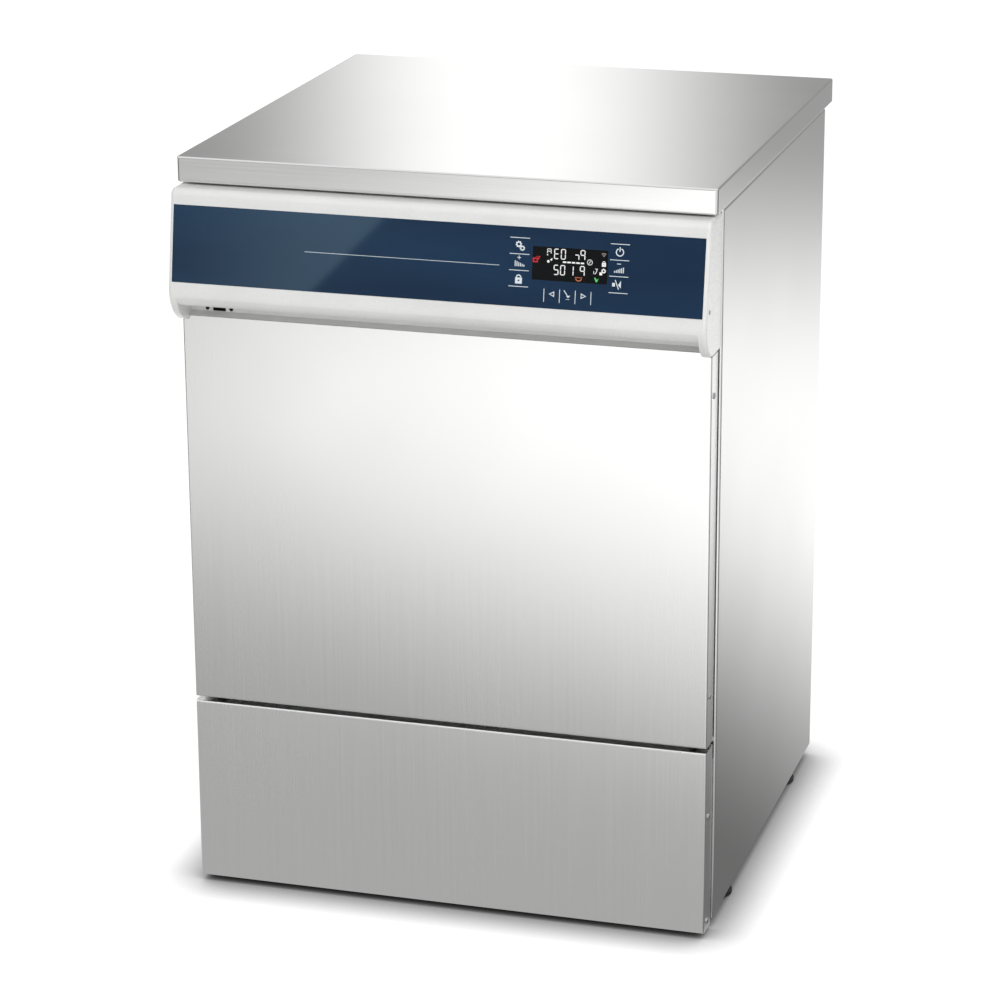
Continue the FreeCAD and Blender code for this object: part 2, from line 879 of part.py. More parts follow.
def make_fascia():
    body = new_body("fascia")
    outer = new_sketch(body, "YZ")
    add_loop(
        outer,
        [
            (FASCIA_BACK, CHEEK_BOTTOM),
            (FASCIA_BACK, DOOR_TOP),
            (slope_y(DOOR_TOP), DOOR_TOP),
            (slope_y(CHEEK_BOTTOM), CHEEK_BOTTOM),
        ],
    )
    extruded(body, "Pad", outer, FASCIA_HALF * 2, middle=True)
    middle_y = FRONT.value
    rounded(
        body,
        S.fascia_top_round,
        lambda e: runs(e, "x") and e.BoundBox.ZMin > DOOR_TOP.value - 1 and e.BoundBox.YMax < middle_y + 10,
    )
    rounded(
        body,
        S.cheek_round,
        lambda e: runs(e, "x") and e.BoundBox.ZMax < CHEEK_BOTTOM.value + 1 and e.BoundBox.YMax < middle_y,
    )
    end = FASCIA_HALF.value
    rounded(
        body,
        S.fascia_side_round,
        lambda e: abs(abs(e.BoundBox.Center.x) - end) < 0.01 and e.BoundBox.YMin < FASCIA_BACK.value - 1,
    )
    hollow = new_sketch(body, "YZ")
    wall = S.fascia_wall
    grip_roof = LIP_Z + S.grip_height
    grip_back = FRONT + S.grip_back
    behind = grip_back + wall
    add_loop(
        hollow,
        [
            (FASCIA_BACK + 5, CHEEK_BOTTOM - 5),
            (FASCIA_BACK + 5, DOOR_TOP - wall),
            (slope_y(DOOR_TOP, S.fascia_top_round), DOOR_TOP - wall),
            (slope_y(DOOR_TOP - S.fascia_top_round, wall), DOOR_TOP - S.fascia_top_round),
            (slope_y(grip_roof + wall, wall), grip_roof + wall),
            (behind, grip_roof + wall),
            (behind, CHEEK_BOTTOM - 5),
        ],
    )
    extruded(body, "Pocket", hollow, FASCIA_HALF * 2 - wall + 0.5, middle=True)
    grip_width = (FASCIA_HALF - S.cheek_width) * 2
    grip = new_sketch(body, "YZ")
    lip_y = slope_y(LIP_START) + S.lip_run
    ahead = FRONT - S.fascia_reach * 2
    add_loop(
        grip,
        [
            (ahead, CHEEK_BOTTOM - 5),
            (grip_back - S.grip_foot, CHEEK_BOTTOM - 5),
            (DOOR_FACE, JOINT_LINE + S.joint_gap),
            (grip_back, JOINT_LINE + S.grip_foot),
            (grip_back, grip_roof - 4, as_size(4)),
            (grip_back - 4, grip_roof),
            (lip_y + S.lip_thickness + 4, grip_roof, as_size(4)),
            (lip_y + S.lip_thickness, grip_roof - 4),
            (lip_y + S.lip_thickness, LIP_Z),
            (lip_y, LIP_Z, -S.lip_round),
            (slope_y(LIP_START), LIP_START),
            (ahead, LIP_START),
        ],
    )
    extruded(body, "Pocket", grip, grip_width, middle=True)
    foot = new_sketch(body, "YZ")
    add_loop(foot, rectangle((ahead, FASCIA_BACK + 5), (CHEEK_BOTTOM - 5, JOINT_LINE + S.joint_gap)))
    extruded(body, "Pocket", foot, grip_width, middle=True)
    depth = S.insert_thickness
    gap = S.insert_gap
    half = INSERT_HALF
    seat = tilted_block((-half - gap, half + gap), (INSERT_Z - gap, INSERT_END + gap), (-5, depth + gap / 2))
    window = tilted_block(DISPLAY_X, DISPLAY_Z, (0, wall + 5))
    port = block(
        (-PORT_X - S.port_width / 2 - gap, -PORT_X + S.port_width / 2 + gap),
        (grip_back - 4, behind + 1),
        (PORT_Z - S.port_height / 2 - gap, PORT_Z + S.port_height / 2 + gap),
    )
    screws = []
    for side in (-1, 1):
        centre = (side * S.port_screw_pitch - PORT_X, PORT_Z)
        screws.append(rod("Y", centre, S.small_screw_shank / 2 + 0.4, (grip_back - 4, behind + 1)))
    del pieces["fascia"]
    body.Label = "fascia_blank"
    keep("fascia", carved(body, seat, window, port, *screws))


PORT_X = FASCIA_HALF - S.port_inset
PORT_Z = JOINT_LINE + S.grip_foot + S.port_height / 2 + 0.6
INSERT_Z = S.insert_foot
INSERT_END = S.insert_foot + S.insert_height
DISPLAY_X = (FASCIA_HALF - S.display_inset - S.display_width, FASCIA_HALF - S.display_inset)
DISPLAY_Z = (S.display_foot, S.display_foot + S.display_height)


def tilted_block(x, rise, depth):
    """A box that lies along the tilted face: rise runs up the slope from the lip's start, depth goes inward."""
    box = doc.addObject("Part::Box", "Tilted")
    box.Placement = FreeCAD.Placement(
        FreeCAD.Vector(), FreeCAD.Rotation(FreeCAD.Vector(1, 0, 0), -S.fascia_tilt.value)
    )
    bind(box, "Placement.Rotation.Angle", S.fascia_tilt)
    box.Placement.Rotation.Axis = FreeCAD.Vector(-1, 0, 0)
    up, inward = as_size(rise[0]), as_size(depth[0])
    bind(box, "Placement.Base.x", x[0])
    bind(box, "Placement.Base.y", slope_y(LIP_START) + up * sine(S.fascia_tilt) + inward * cosine(S.fascia_tilt))
    bind(box, "Placement.Base.z", LIP_START + up * cosine(S.fascia_tilt) - inward * sine(S.fascia_tilt))
    bind(box, "Length", as_size(x[1]) - x[0])
    bind(box, "Width", as_size(depth[1]) - depth[0])
    bind(box, "Height", as_size(rise[1]) - rise[0])
    return box


def make_controls():
    half = INSERT_HALF
    keep("control_insert", tilted_block((-half, half), (INSERT_Z, INSERT_END), (0, S.insert_thickness)))
    gap = S.insert_gap
    front = S.insert_thickness + gap
    module_back = front + S.display_depth
    low, high = DISPLAY_Z
    face = tilted_block(
        (DISPLAY_X[0] + gap, DISPLAY_X[1] - gap), (low + gap, high - gap), (front, module_back)
    )
    frame = tilted_block(
        (DISPLAY_X[0] - 4, DISPLAY_X[1] + 4), (low - 4, high + 4), (S.fascia_wall + 0.4, module_back)
    )
    keep("display_module", merged(face, frame))
    board_low = DISPLAY_X[0] - S.board_margin
    board_x = (board_low, board_low + S.board_width)
    board_back = module_back + S.board_sheet
    parts = [tilted_block(board_x, (low - 18, high + 6), (module_back, board_back))]
    for offset, width, rise, height, depth in ((8, 22, 12, 22, 4), (40, 14, 30, 14, 3), (64, 30, 6, 10, 6), (110, 18, 24, 16, 7)):
        x = board_x[0] + offset
        z = low - 18 + rise
        parts.append(tilted_block((x, x + width), (z, z + height), (board_back, board_back + depth)))
    for x in (board_x[0] + 6, board_x[1] - 12):
        for z in (low - 16, high - 2):
            parts.append(tilted_block((x, x + 6), (z, z + 6), (S.fascia_wall + 0.4, module_back)))
    keep("control_board", merged(*parts))
    grip_back = FRONT + S.grip_back
    half_width = S.port_width / 2
    half_height = S.port_height / 2
    shell = block(
        (-PORT_X - half_width, -PORT_X + half_width),
        (grip_back, grip_back + S.port_depth),
        (PORT_Z - half_height, PORT_Z + half_height),
    )
    socket = block(
        (-PORT_X - half_width + 1, -PORT_X + half_width - 1),
        (grip_back - 1, grip_back + S.port_depth - 2),
        (PORT_Z - half_height + 0.7, PORT_Z + half_height - 0.7),
    )
    tongue = block(
        (-PORT_X - half_width + 2, -PORT_X + half_width - 2),
        (grip_back + 1, grip_back + S.port_depth - 1),
        (PORT_Z + 0.2, PORT_Z + half_height - 1.1),
    )
    keep("data_port", merged(carved(shell, socket), tongue))
    screws = []
    for side in (-1, 1):
        centre = (side * S.port_screw_pitch - PORT_X, PORT_Z)
        head = rod("Y", centre, S.port_screw_head, (grip_back - 1, grip_back))
        screws.append(merged(head, rod("Y", centre, S.small_screw_shank / 2, (grip_back, grip_back + 6))))
    group = doc.addObject("Part::Compound", "PortScrews")
    group.Links = screws
    keep("port_screws", group)


# Hinges: an arm in the door turns on a pin in a cabinet bracket; its tail pulls a spring


ARM_X = (HINGE_X - S.hinge_plate / 2, HINGE_X + S.hinge_plate / 2)
BRACKET_X = (ARM_X[1] + 1, ARM_X[1] + 1 + S.hinge_plate)
TAIL_TIP = HINGE_Y + S.hinge_tail


def plate(x, outline, round_at=(), bores=()):
    """A flat plate across X with round ends and bores, drawn in its side view."""
    body = doc.addObject("PartDesign::Body", "Plate")
    sketch = new_sketch(body, "YZ", x[0])
    add_loop(sketch, outline)
    extruded(body, "Pad", sketch, x[1] - x[0])
    discs = [rod("X", centre, radius, x) for centre, radius in round_at]
    solid = merged(body, *discs) if discs else body
    holes = [rod("X", centre, radius, (x[0] - 1, x[1] + 1)) for centre, radius in bores]
    return carved(solid, *holes) if holes else solid


def make_hinges():
    pin = (HINGE_Y, HINGE_Z)
    eye = S.hinge_eye
    tail = S.hinge_tail_eye
    stem_back = DOOR_BACK - S.door_sheet - S.seat_gap
    stem_top = HINGE_Z + 100
    tip = (TAIL_TIP, HINGE_Z)
    arm = plate(
        ARM_X,
        [
            (HINGE_Y - eye, HINGE_Z),
            (HINGE_Y, HINGE_Z - eye),
            (TAIL_TIP, HINGE_Z - tail),
            (TAIL_TIP, HINGE_Z + tail),
            (HINGE_Y + eye, HINGE_Z + eye),
            (HINGE_Y + eye, HINGE_Z + eye + 6),
            (stem_back, HINGE_Z + eye + 14),
            (stem_back, stem_top),
            (HINGE_Y - eye, stem_top),
        ],
        round_at=((pin, eye), (tip, tail)),
        bores=((pin, S.hinge_pin + S.running_gap), (tip, S.spring_hook + S.seat_gap)),
    )
    flange = block((ARM_X[0] - 8, ARM_X[1]), (stem_back - 2, stem_back), (HINGE_Z + eye + 20, stem_top))
    right = keep("hinge_arm_right", merged(arm, flange))
    keep("hinge_arm_left", mirrored(right))
    seat = CABINET_FACE + S.panel_sheet
    low = HINGE_Z - S.hinge_seat_drop
    high = HINGE_Z + S.hinge_seat_rise
    side_plate = plate(
        BRACKET_X,
        [
            (HINGE_Y, HINGE_Z - eye),
            (CABINET_FACE - 2, HINGE_Z - eye),
            (seat, low),
            (seat + 2, low),
            (seat + 2, high),
            (seat, high),
            (CABINET_FACE - 2, HINGE_Z + eye),
            (HINGE_Y, HINGE_Z + eye),
        ],
        round_at=((pin, eye),),
        bores=((pin, S.hinge_pin),),
    )
    foot = block((BRACKET_X[0], BRACKET_X[1] + 8), (seat, seat + 2), (low, high))
    right = keep("hinge_bracket_right", merged(side_plate, foot))
    keep("hinge_bracket_left", mirrored(right))
    pins = []
    for side in (-1, 1):
        shank = rod("X", pin, S.hinge_pin, ordered(side * (ARM_X[0] - 1), side * BRACKET_X[1]))
        head = rod("X", pin, S.hinge_pin + 2, ordered(side * (ARM_X[0] - 3), side * (ARM_X[0] - 0.5)))
        pins.append(merged(shank, head))
    group = doc.addObject("Part::Compound", "HingePins")
    group.Links = pins
    keep("hinge_pins", group)


def make_springs():
    centre = (HINGE_X, TAIL_TIP)
    top = HINGE_Z - S.hinge_tail_eye - S.seat_gap
    low_end = TRAY_TOP + 34
    sleeve = rod("Z", centre, S.spring_radius, (low_end, top - 24))
    hooks = rod("Z", centre, S.spring_hook, (TRAY_TOP, top))
    collars = [taper("Z", centre, (S.spring_radius, S.spring_hook), (top - 24, top - 16))]
    right = keep("door_spring_right", merged(sleeve, hooks, *collars))
    keep("door_spring_left", mirrored(right))


# Wash chamber: a deep-drawn tub with a front frame, and what it holds


def make_wash_chamber():
    wall = S.tub_sheet
    body = new_body("tub")
    sketch = new_sketch(body, "XZ", -FRAME_PLANE)
    x = (-CHAMBER_HALF - wall, CHAMBER_HALF + wall)
    z = (UNDER_TUB, CHAMBER_ROOF + wall)
    add_loop(sketch, soft_rectangle(x, z, S.chamber_corner))
    extruded(body, "Pad", sketch, TUB_BACK - FRAME_PLANE + wall, back=True)
    back = TUB_BACK + wall
    rounded(body, S.chamber_corner * 0.6, lambda edge: flat(edge, "y", back))
    shelled(body, wall, lambda face: flat(face, "y", FRAME_PLANE))
    del pieces["tub"]
    frame_body = new_body("tub_frame")
    frame = new_sketch(frame_body, "XZ", -FRAME_PLANE)
    reach = HALF - S.panel_sheet - 2
    add_loop(frame, rectangle((-reach, reach), (S.frame_bottom, DOOR_TOP)))
    inner = S.chamber_corner - wall
    add_loop(frame, soft_rectangle((-CHAMBER_HALF, CHAMBER_HALF), (S.chamber_floor, CHAMBER_ROOF), inner))
    extruded(frame_body, "Pad", frame, wall, back=True)
    del pieces["tub_frame"]
    cuts = []
    for side in (-1, 1):
        middle = side * (HINGE_X + S.hinge_plate / 2 + 0.5)
        cuts.append(
            block(
                ordered(middle - S.hinge_slot / 2, middle + S.hinge_slot / 2),
                (FRAME_PLANE - 1, FRAME_BACK + 1),
                (S.frame_bottom - 1, S.chamber_floor + 2),
            )
        )
        heater_hole = (side * S.heater_half_width, S.heater_level)
        cuts.append(rod("Y", heater_hole, S.heater_rod + S.running_gap, (TUB_BACK - 5, TUB_BACK + 5)))
    slot = (S.strike_width + 4) / 2
    cuts.append(
        block((-slot, slot), (FRAME_PLANE - 1, FRAME_BACK + 1), (STRIKE_Z - 4, STRIKE_Z + S.strike_sheet + 4))
    )
    cuts.append(rod("Z", (0, SUMP_Y), S.sump_radius, (UNDER_TUB - 5, S.chamber_floor + 5)))
    for level in (S.chamber_floor, CHAMBER_ROOF):
        cuts.append(rod("Z", (0, ARM_Y), S.arm_stub + S.seat_gap, (level - 5, level + 5)))
    cuts.append(rod("Z", SALT_CENTRE, S.cap_radius - 6, (UNDER_TUB - 5, S.chamber_floor + 5)))
    cuts.append(rod("Y", CONDENSER_PORT, 12 + S.seat_gap, (TUB_BACK - 5, TUB_BACK + 5)))
    apron_half = HALF - S.apron_inset
    apron_low = PLINTH_TOP - S.apron_overlap
    apron = block((-apron_half, apron_half), (FRAME_PLANE, FRAME_BACK), (apron_low, S.frame_bottom + 1))
    apron_fold = block(
        (-apron_half, apron_half), (FRAME_PLANE, FRAME_PLANE + S.apron_return), (apron_low, apron_low + wall)
    )
    keep("wash_chamber", carved(merged(body, frame_body, apron, apron_fold), *cuts))


SALT_CENTRE = (S.cap_side - CHAMBER_HALF, FRAME_PLANE + S.cap_front)
CONDENSER_X = (-S.condenser_width - 60, as_size(-60))
CONDENSER_Z = (CHAMBER_ROOF - S.condenser_height - 30, CHAMBER_ROOF - 30)
CONDENSER_PORT = (CONDENSER_X[0] + S.condenser_width / 2, CONDENSER_Z[1] - 40)
STRIKE_Z = CHAMBER_ROOF + 10


def make_gasket():
    body = new_body("door_gasket")
    sketch = new_sketch(body, "XZ", -FRAME_PLANE)
    lap = S.gasket_width
    gap = S.seat_gap
    corner = S.chamber_corner
    x = (-CHAMBER_HALF - lap, CHAMBER_HALF + lap)
    add_loop(sketch, soft_rectangle(x, (S.chamber_floor - lap, CHAMBER_ROOF + lap - 3), corner))
    inner = ((-CHAMBER_HALF - 1, CHAMBER_HALF + 1), (S.chamber_floor - 1, CHAMBER_ROOF + 1))
    add_loop(sketch, soft_rectangle(*inner, corner - 4))
    extruded(body, "Pad", sketch, FRAME_PLANE - DOOR_BACK - gap)


def make_rack_rails():
    body_list = []
    for side in (-1, 1):
        wall = side * CHAMBER_HALF
        y = (FRAME_PLANE + 20, TUB_BACK - 25)
        z = (S.rail_level, S.rail_level + S.rail_height)
        web = block(ordered(wall, wall - side * 2), y, z)
        shelves = []
        for level in (z[0], z[1] - 2):
            shelves.append(block(ordered(wall, wall - side * S.rail_depth), y, (level, level + 2)))
        lips = []
        for level in (z[0], z[1] - 5):
            inner = wall - side * S.rail_depth
            lips.append(block(ordered(inner, inner + side * 2), y, (level, level + 5)))
        body_list.append(merged(web, *shelves, *lips))
    group = doc.addObject("Part::Compound", "RackRails")
    group.Links = body_list
    keep("rack_rails", group)


def make_tub_supports():
    supports = []
    for side in (-1, 1):
        inner = CHAMBER_HALF - S.support_inset
        x = ordered(side * inner, side * (inner + S.support_sheet))
        y = (TUB_BACK - S.support_rear - S.support_length, TUB_BACK - S.support_rear)
        web = block(x, y, (TRAY_TOP, UNDER_TUB))
        feet = []
        for level in (TRAY_TOP, UNDER_TUB - S.support_sheet):
            ledge = ordered(side * (inner - S.support_inset), side * inner)
            feet.append(block(ledge, y, (level, level + S.support_sheet)))
        window = block((x[0] - 5, x[1] + 5), (y[0] + 25, y[1] - 25), (TRAY_TOP + 40, UNDER_TUB - 40))
        supports.append(carved(merged(web, *feet), window))
    group = doc.addObject("Part::Compound", "TubSupports")
    group.Links = supports
    keep("tub_supports", group)


# Water circuit


def make_sump():
    body = new_body("sump_bowl")
    sketch = new_sketch(body, "XZ", -SUMP_Y)
    radius = S.sump_radius
    wall = S.sump_wall
    bottom = UNDER_TUB - S.sump_depth
    lower = radius * 0.72
    ledge = UNDER_TUB - S.filter_sheet
    add_loop(
        sketch,
        [
            (0, bottom),
            (lower, bottom),
            (radius + wall, UNDER_TUB - 20),
            (radius + wall, UNDER_TUB - wall),
            (radius + S.sump_flange, UNDER_TUB - wall),
            (radius + S.sump_flange, UNDER_TUB),
            (radius, UNDER_TUB),
            (radius, ledge),
            (radius - wall, ledge),
            (radius - wall, UNDER_TUB - 20),
            (lower - wall, bottom + wall),
            (0, bottom + wall),
        ],
    )
    revolved(body, sketch)
    del pieces["sump_bowl"]
    level = bottom + 17
    stub_x = (lower - 10, radius + 28)
    suction = rod("Z", (0, SUMP_Y), S.suction_radius - 2, (SUCTION_TOP, bottom + 1))
    outlet = rod("X", (SUMP_Y, level), 11, stub_x)
    bores = [
        rod("Z", (0, SUMP_Y), S.suction_radius - 5, (SUCTION_TOP - 1, bottom + wall + 1)),
        rod("X", (SUMP_Y, level), 8, (stub_x[0] - 5, stub_x[1] + 1)),
    ]
    cavity = taper("Z", (0, SUMP_Y), (lower - wall, radius - wall), (bottom + wall, UNDER_TUB - 20))
    keep("sump", carved(merged(body, carved(merged(suction, outlet), cavity)), *bores))


SUCTION_TOP = UNDER_TUB - S.sump_depth - 14


def make_filters():
    level = UNDER_TUB - S.filter_sheet
    disc = rod("Z", (0, SUMP_Y), S.filter_radius, (level, level + S.filter_sheet))
    centre = rod("Z", (0, SUMP_Y), S.micro_radius + 0.5, (level - 1, level + 5))
    holes = [centre]
    for ring, count in ((0, 14), (1, 20)):
        radius = S.micro_radius + 11 + ring * 14
        for i in range(count):
            angle = 2 * math.pi * i / count
            place = (radius * math.cos(angle), SUMP_Y + radius * math.sin(angle))
            holes.append(rod("Z", place, S.filter_hole + ring * 1.4, (level - 1, level + 5)))
    keep("coarse_filter", carved(disc, *holes))
    body = new_body("micro_sieve")
    sketch = new_sketch(body, "XZ", -SUMP_Y)
    top = UNDER_TUB
    radius = S.micro_radius
    add_loop(
        sketch,
        [
            (0, top - S.micro_length),
            (radius - 3, top - S.micro_length),
            (radius, top - S.micro_length + 3),
            (radius, top),
            (radius + 5, top),
            (radius + 5, top + 3),
            (radius - 2, top + 3),
            (radius - 2, top - S.micro_length + 4),
            (radius - 4, top - S.micro_length + 2),
            (0, top - S.micro_length + 2),
        ],
    )
    revolved(body, sketch)
    del pieces["micro_sieve"]
    y = (SUMP_Y - 3, SUMP_Y + 3)
    bridge = block((-radius + 2, radius - 2), y, (top, top + 3))
    grip = block((-(radius * 0.5), radius * 0.5), y, (top + 2, top + 16))
    grip = eased(grip, 5, lambda edge: runs(edge, "y"))
    keep("micro_filter", merged(body, bridge, grip))


def make_spray_arm(name, level, nozzle_up):
    """A flat arm that tapers to its tips, with a hub, a bore and a row of slots on one face."""
    body = new_body(f"{name}_blank")
    sketch = new_sketch(body, "XY", level)
    reach = CHAMBER_HALF - S.arm_clearance
    hub = S.arm_hub
    root = S.arm_width / 2
    tip = S.arm_width / 3
    add_loop(
        sketch,
        [
            (hub, ARM_Y - root),
            (reach - tip, ARM_Y - tip, tip * 1.05),
            (reach - tip, ARM_Y + tip),
            (hub, ARM_Y + root, hub * 1.2),
            (-hub, ARM_Y + root),
            (tip - reach, ARM_Y + tip, tip * 1.05),
            (tip - reach, ARM_Y - tip),
            (-hub, ARM_Y - root, hub * 1.2),
        ],
    )
    extruded(body, "Pad", sketch, S.arm_thickness)
    faces = (level.value, (level + S.arm_thickness).value)
    rounded(body, S.arm_thickness / 3, lambda edge: any(flat(edge, "z", as_size(face)) for face in faces))
    del pieces[f"{name}_blank"]
    cuts = [rod("Z", (0, ARM_Y), S.arm_stub + S.running_gap, (level - 5, level + S.arm_thickness + 5))]
    face = level + S.arm_thickness if nozzle_up else level
    for side in (-1, 1):
        for i in range(int(S.nozzle_count.value)):
            x = side * (hub + 14 + i * S.nozzle_pitch)
            shift = 4 * (-1) ** i
            cuts.append(
                block((x - 1.5, x + 1.5), (ARM_Y + shift - 5, ARM_Y + shift + 5), (face - 3, face + 3))
            )
    return keep(name, carved(body, *cuts))


def make_hubs():
    gap = S.seat_gap
    low = S.arm_level
    high = low + S.arm_thickness
    collar = rod("Z", (0, ARM_Y), S.arm_collar, (S.chamber_floor, low - gap))
    stem = rod("Z", (0, ARM_Y), S.arm_stub, (BRANCH_Z, high + 6))
    nut = rod("Z", (0, ARM_Y), S.arm_collar, (high + gap, high + 7))
    nut = eased(nut, 2, lambda edge: edge.BoundBox.ZMin > (high + 5).value)
    keep("lower_arm_hub", merged(collar, stem, nut))
    low = UPPER_ARM_Z
    high = low + S.arm_thickness
    collar = rod("Z", (0, ARM_Y), S.arm_collar, (high + gap, CHAMBER_ROOF))
    stem = rod("Z", (0, ARM_Y), S.arm_stub, (low - 6, PIPE_Z - S.pipe_radius))
    nut = rod("Z", (0, ARM_Y), S.arm_collar, (low - 7, low - gap))
    nut = eased(nut, 2, lambda edge: edge.BoundBox.ZMax < (low - 5).value)
    keep("upper_arm_hub", merged(collar, stem, nut))


BRANCH_Z = UNDER_TUB - 45
PIPE_Z = CHAMBER_ROOF + S.tub_sheet + 16
PIPE_X = as_size(48)
RISER_Y = (TUB_BACK + S.tub_sheet + REAR_INNER) / 2


def elbow_path(points, bend):
    """Straight runs joined by tangent arcs of one radius."""
    edges = []
    start = points[0]
    for before, corner, after in zip(points, points[1:], points[2:]):
        arrive = (corner - before).normalize()
        leave = (after - corner).normalize()
        first = corner - arrive * bend
        last = corner + leave * bend
        middle = corner + (leave - arrive) * bend * (1 - math.sqrt(0.5))
        edges.append(Part.LineSegment(start, first).toShape())
        edges.append(Part.Arc(first, middle, last).toShape())
        start = last
    edges.append(Part.LineSegment(start, points[-1]).toShape())
    return Part.Wire(edges)


def pipe(points, radius, bend):
    """A round solid swept along square-cornered runs; its sizes come from the sheet's own values."""
    corners = [FreeCAD.Vector(*(as_size(value).value for value in point)) for point in points]
    path = elbow_path(corners, as_size(bend).value)
    start = path.Edges[0]
    profile = Part.Wire([Part.makeCircle(as_size(radius).value, corners[0], start.tangentAt(start.FirstParameter))])
    swept = doc.addObject("Part::Feature", "Pipe")
    swept.Shape = path.makePipeShell([profile], True, False)
    return swept


def make_supply_pipe():
    radius = S.pipe_radius
    bend = 24
    volute_top = S.pump_level + S.pump_radius
    riser = pipe(
        [
            (PIPE_X, ARM_Y, volute_top - 8),
            (PIPE_X, ARM_Y, BRANCH_Z),
            (PIPE_X, RISER_Y, BRANCH_Z),
            (PIPE_X, RISER_Y, PIPE_Z),
            (PIPE_X, ARM_Y, PIPE_Z),
            (-2, ARM_Y, PIPE_Z),
        ],
        radius,
        bend,
    )
    branch = rod("X", (ARM_Y + 20, BRANCH_Z), radius - 2, (-2, PIPE_X))
    feed = block((-12, 12), (ARM_Y - 12, ARM_Y + 28), (BRANCH_Z - 12, BRANCH_Z + 12))
    cap = rod("Z", (0, ARM_Y), radius + 4, (PIPE_Z - radius, PIPE_Z + radius))
    seat = rod("Z", (0, ARM_Y), S.arm_stub, (BRANCH_Z, BRANCH_Z + 20))
    keep("supply_pipe", carved(merged(riser, branch, feed, cap), seat))


def make_pumps():
    centre = (0, S.pump_level)
    front = ARM_Y - VOLUTE_HALF
    back = ARM_Y + VOLUTE_HALF
    volute = eased(rod("Y", centre, S.pump_radius, (front, back)), 10, lambda edge: edge.Length > 100)
    throat = rod("Z", (PIPE_X, ARM_Y), S.pipe_radius + 2, (S.pump_level, S.pump_level + S.pump_radius))
    socket = rod("Z", (PIPE_X, ARM_Y), S.pipe_radius, (S.pump_level + S.pump_radius - 8, S.pump_level + 90))
    motor = rod("Y", centre, S.motor_radius, (back, back + S.motor_length))
    motor = eased(motor, 6, lambda edge: edge.BoundBox.YMin > (back + 20).value)
    legs = []
    for y in (back + 12, back + S.motor_length - 22):
        legs.append(block((-30, 30), (y, y + 10), (TRAY_TOP, S.pump_level)))
    sole = block((2 - S.motor_radius, S.motor_radius - 2), (back + 6, back + S.motor_length - 6), (TRAY_TOP, TRAY_TOP + 3))
    corner = (0, SUMP_Y, S.pump_level)
    suction = pipe([(0, SUMP_Y, SUCTION_TOP), corner, (0, front + 2, S.pump_level)], S.suction_radius, 30)
    keep("circulation_pump", carved(merged(volute, throat, motor, *legs, sole, suction), socket))
    level = UNDER_TUB - S.sump_depth + 17
    start = S.sump_radius + 28
    centre = (SUMP_Y, level)
    body = rod("X", centre, S.drain_pump_radius, (start + 24, start + 78))
    body = eased(body, 4, lambda edge: edge.Length > 100 and edge.BoundBox.XMin > (start + 30).value)
    scroll = rod("X", centre, S.drain_pump_radius + 6, (start, start + 24))
    spout = rod("Z", (start + 12, SUMP_Y), S.hose_radius + 2, (level - 50, level))
    keep("drain_pump", merged(body, scroll, spout))


def make_drain():
    start = S.sump_radius + 40
    level = UNDER_TUB - S.sump_depth + 17
    hose = pipe(
        [
            (start, SUMP_Y, level - 50),
            (start, SUMP_Y, S.drain_level),
            (start, RISER_Y - 55, S.drain_level),
            (S.drain_side, RISER_Y - 55, S.drain_level),
            (S.drain_side, REAR_INNER - 6, S.drain_level),
        ],
        S.hose_radius,
        26,
    )
    keep("drain_hose", hose)
    centre = (S.drain_side, S.drain_level)
    flange = rod("Y", centre, S.hose_radius + 8, (REAR_INNER - 3, REAR_INNER))
    back = CABINET_BACK + 30
    tube = rod("Y", centre, S.hose_radius + 1, (REAR_INNER - 6, back))
    barb = taper("Y", centre, (S.hose_radius + 2.5, S.hose_radius), (back - 8, back))
    hole = rod("Y", centre, S.hose_radius - 2, (REAR_INNER - 8, back + 1))
    keep("drain_outlet", carved(merged(flange, tube, barb), hole))


def make_heater():
    x = S.heater_half_width
    front = SUMP_Y - S.sump_radius - 24
    back = TUB_BACK + S.tub_sheet + 14
    level = S.heater_level
    loop = pipe([(-x, back, level), (-x, front, level), (x, front, level), (x, back, level)], S.heater_rod, 40)
    extras = []
    for side in (-1, 1):
        centre = (side * x, level)
        extras.append(rod("Y", centre, S.heater_rod * 1.9, (TUB_BACK - 4, TUB_BACK)))
        extras.append(rod("Y", centre, S.heater_rod * 1.9, (TUB_BACK + S.tub_sheet, TUB_BACK + S.tub_sheet + 5)))
        for y in (ARM_Y - CHAMBER_HALF / 4, ARM_Y + CHAMBER_HALF / 2):
            stand = (side * x, y)
            extras.append(rod("Z", stand, 3, (S.chamber_floor, level)))
    keep("heater", merged(loop, *extras))


def make_softener():
    x, y = SALT_CENTRE
    left = x - S.tank_left
    front = y - S.tank_front
    shoulder = UNDER_TUB - S.tank_gap
    tank = block((left, left + S.tank_width), (front, front + S.tank_depth), (TRAY_TOP, shoulder))
    tank = eased(tank, 14, lambda edge: runs(edge, "z"))
    collar = rod("Z", SALT_CENTRE, S.cap_radius + 4, (shoulder, UNDER_TUB))
    neck = rod("Z", SALT_CENTRE, S.cap_radius - 6 - S.seat_gap, (UNDER_TUB, S.chamber_floor))
    fill = rod("Z", SALT_CENTRE, S.cap_radius - 10, (UNDER_TUB - 21, S.chamber_floor + 1))
    keep("softener", carved(merged(tank, collar, neck), fill))
    plug = rod("Z", SALT_CENTRE, S.cap_radius - 10 - S.seat_gap, (UNDER_TUB - 20, S.chamber_floor + 1))
    level = S.chamber_floor + S.seat_gap
    cap = eased(
        rod("Z", SALT_CENTRE, S.cap_radius - 4, (level, level + S.cap_height - 6)),
        2,
        lambda edge: edge.BoundBox.ZMin > (level + 2).value,
    )
    top = level + S.cap_height - 6
    bar = block((x - S.cap_radius + 10, x + S.cap_radius - 10), (y - 4, y + 4), (top, top + 6))
    keep("salt_cap", merged(plug, cap, bar))


# Fittings of the door, the lock and the service side


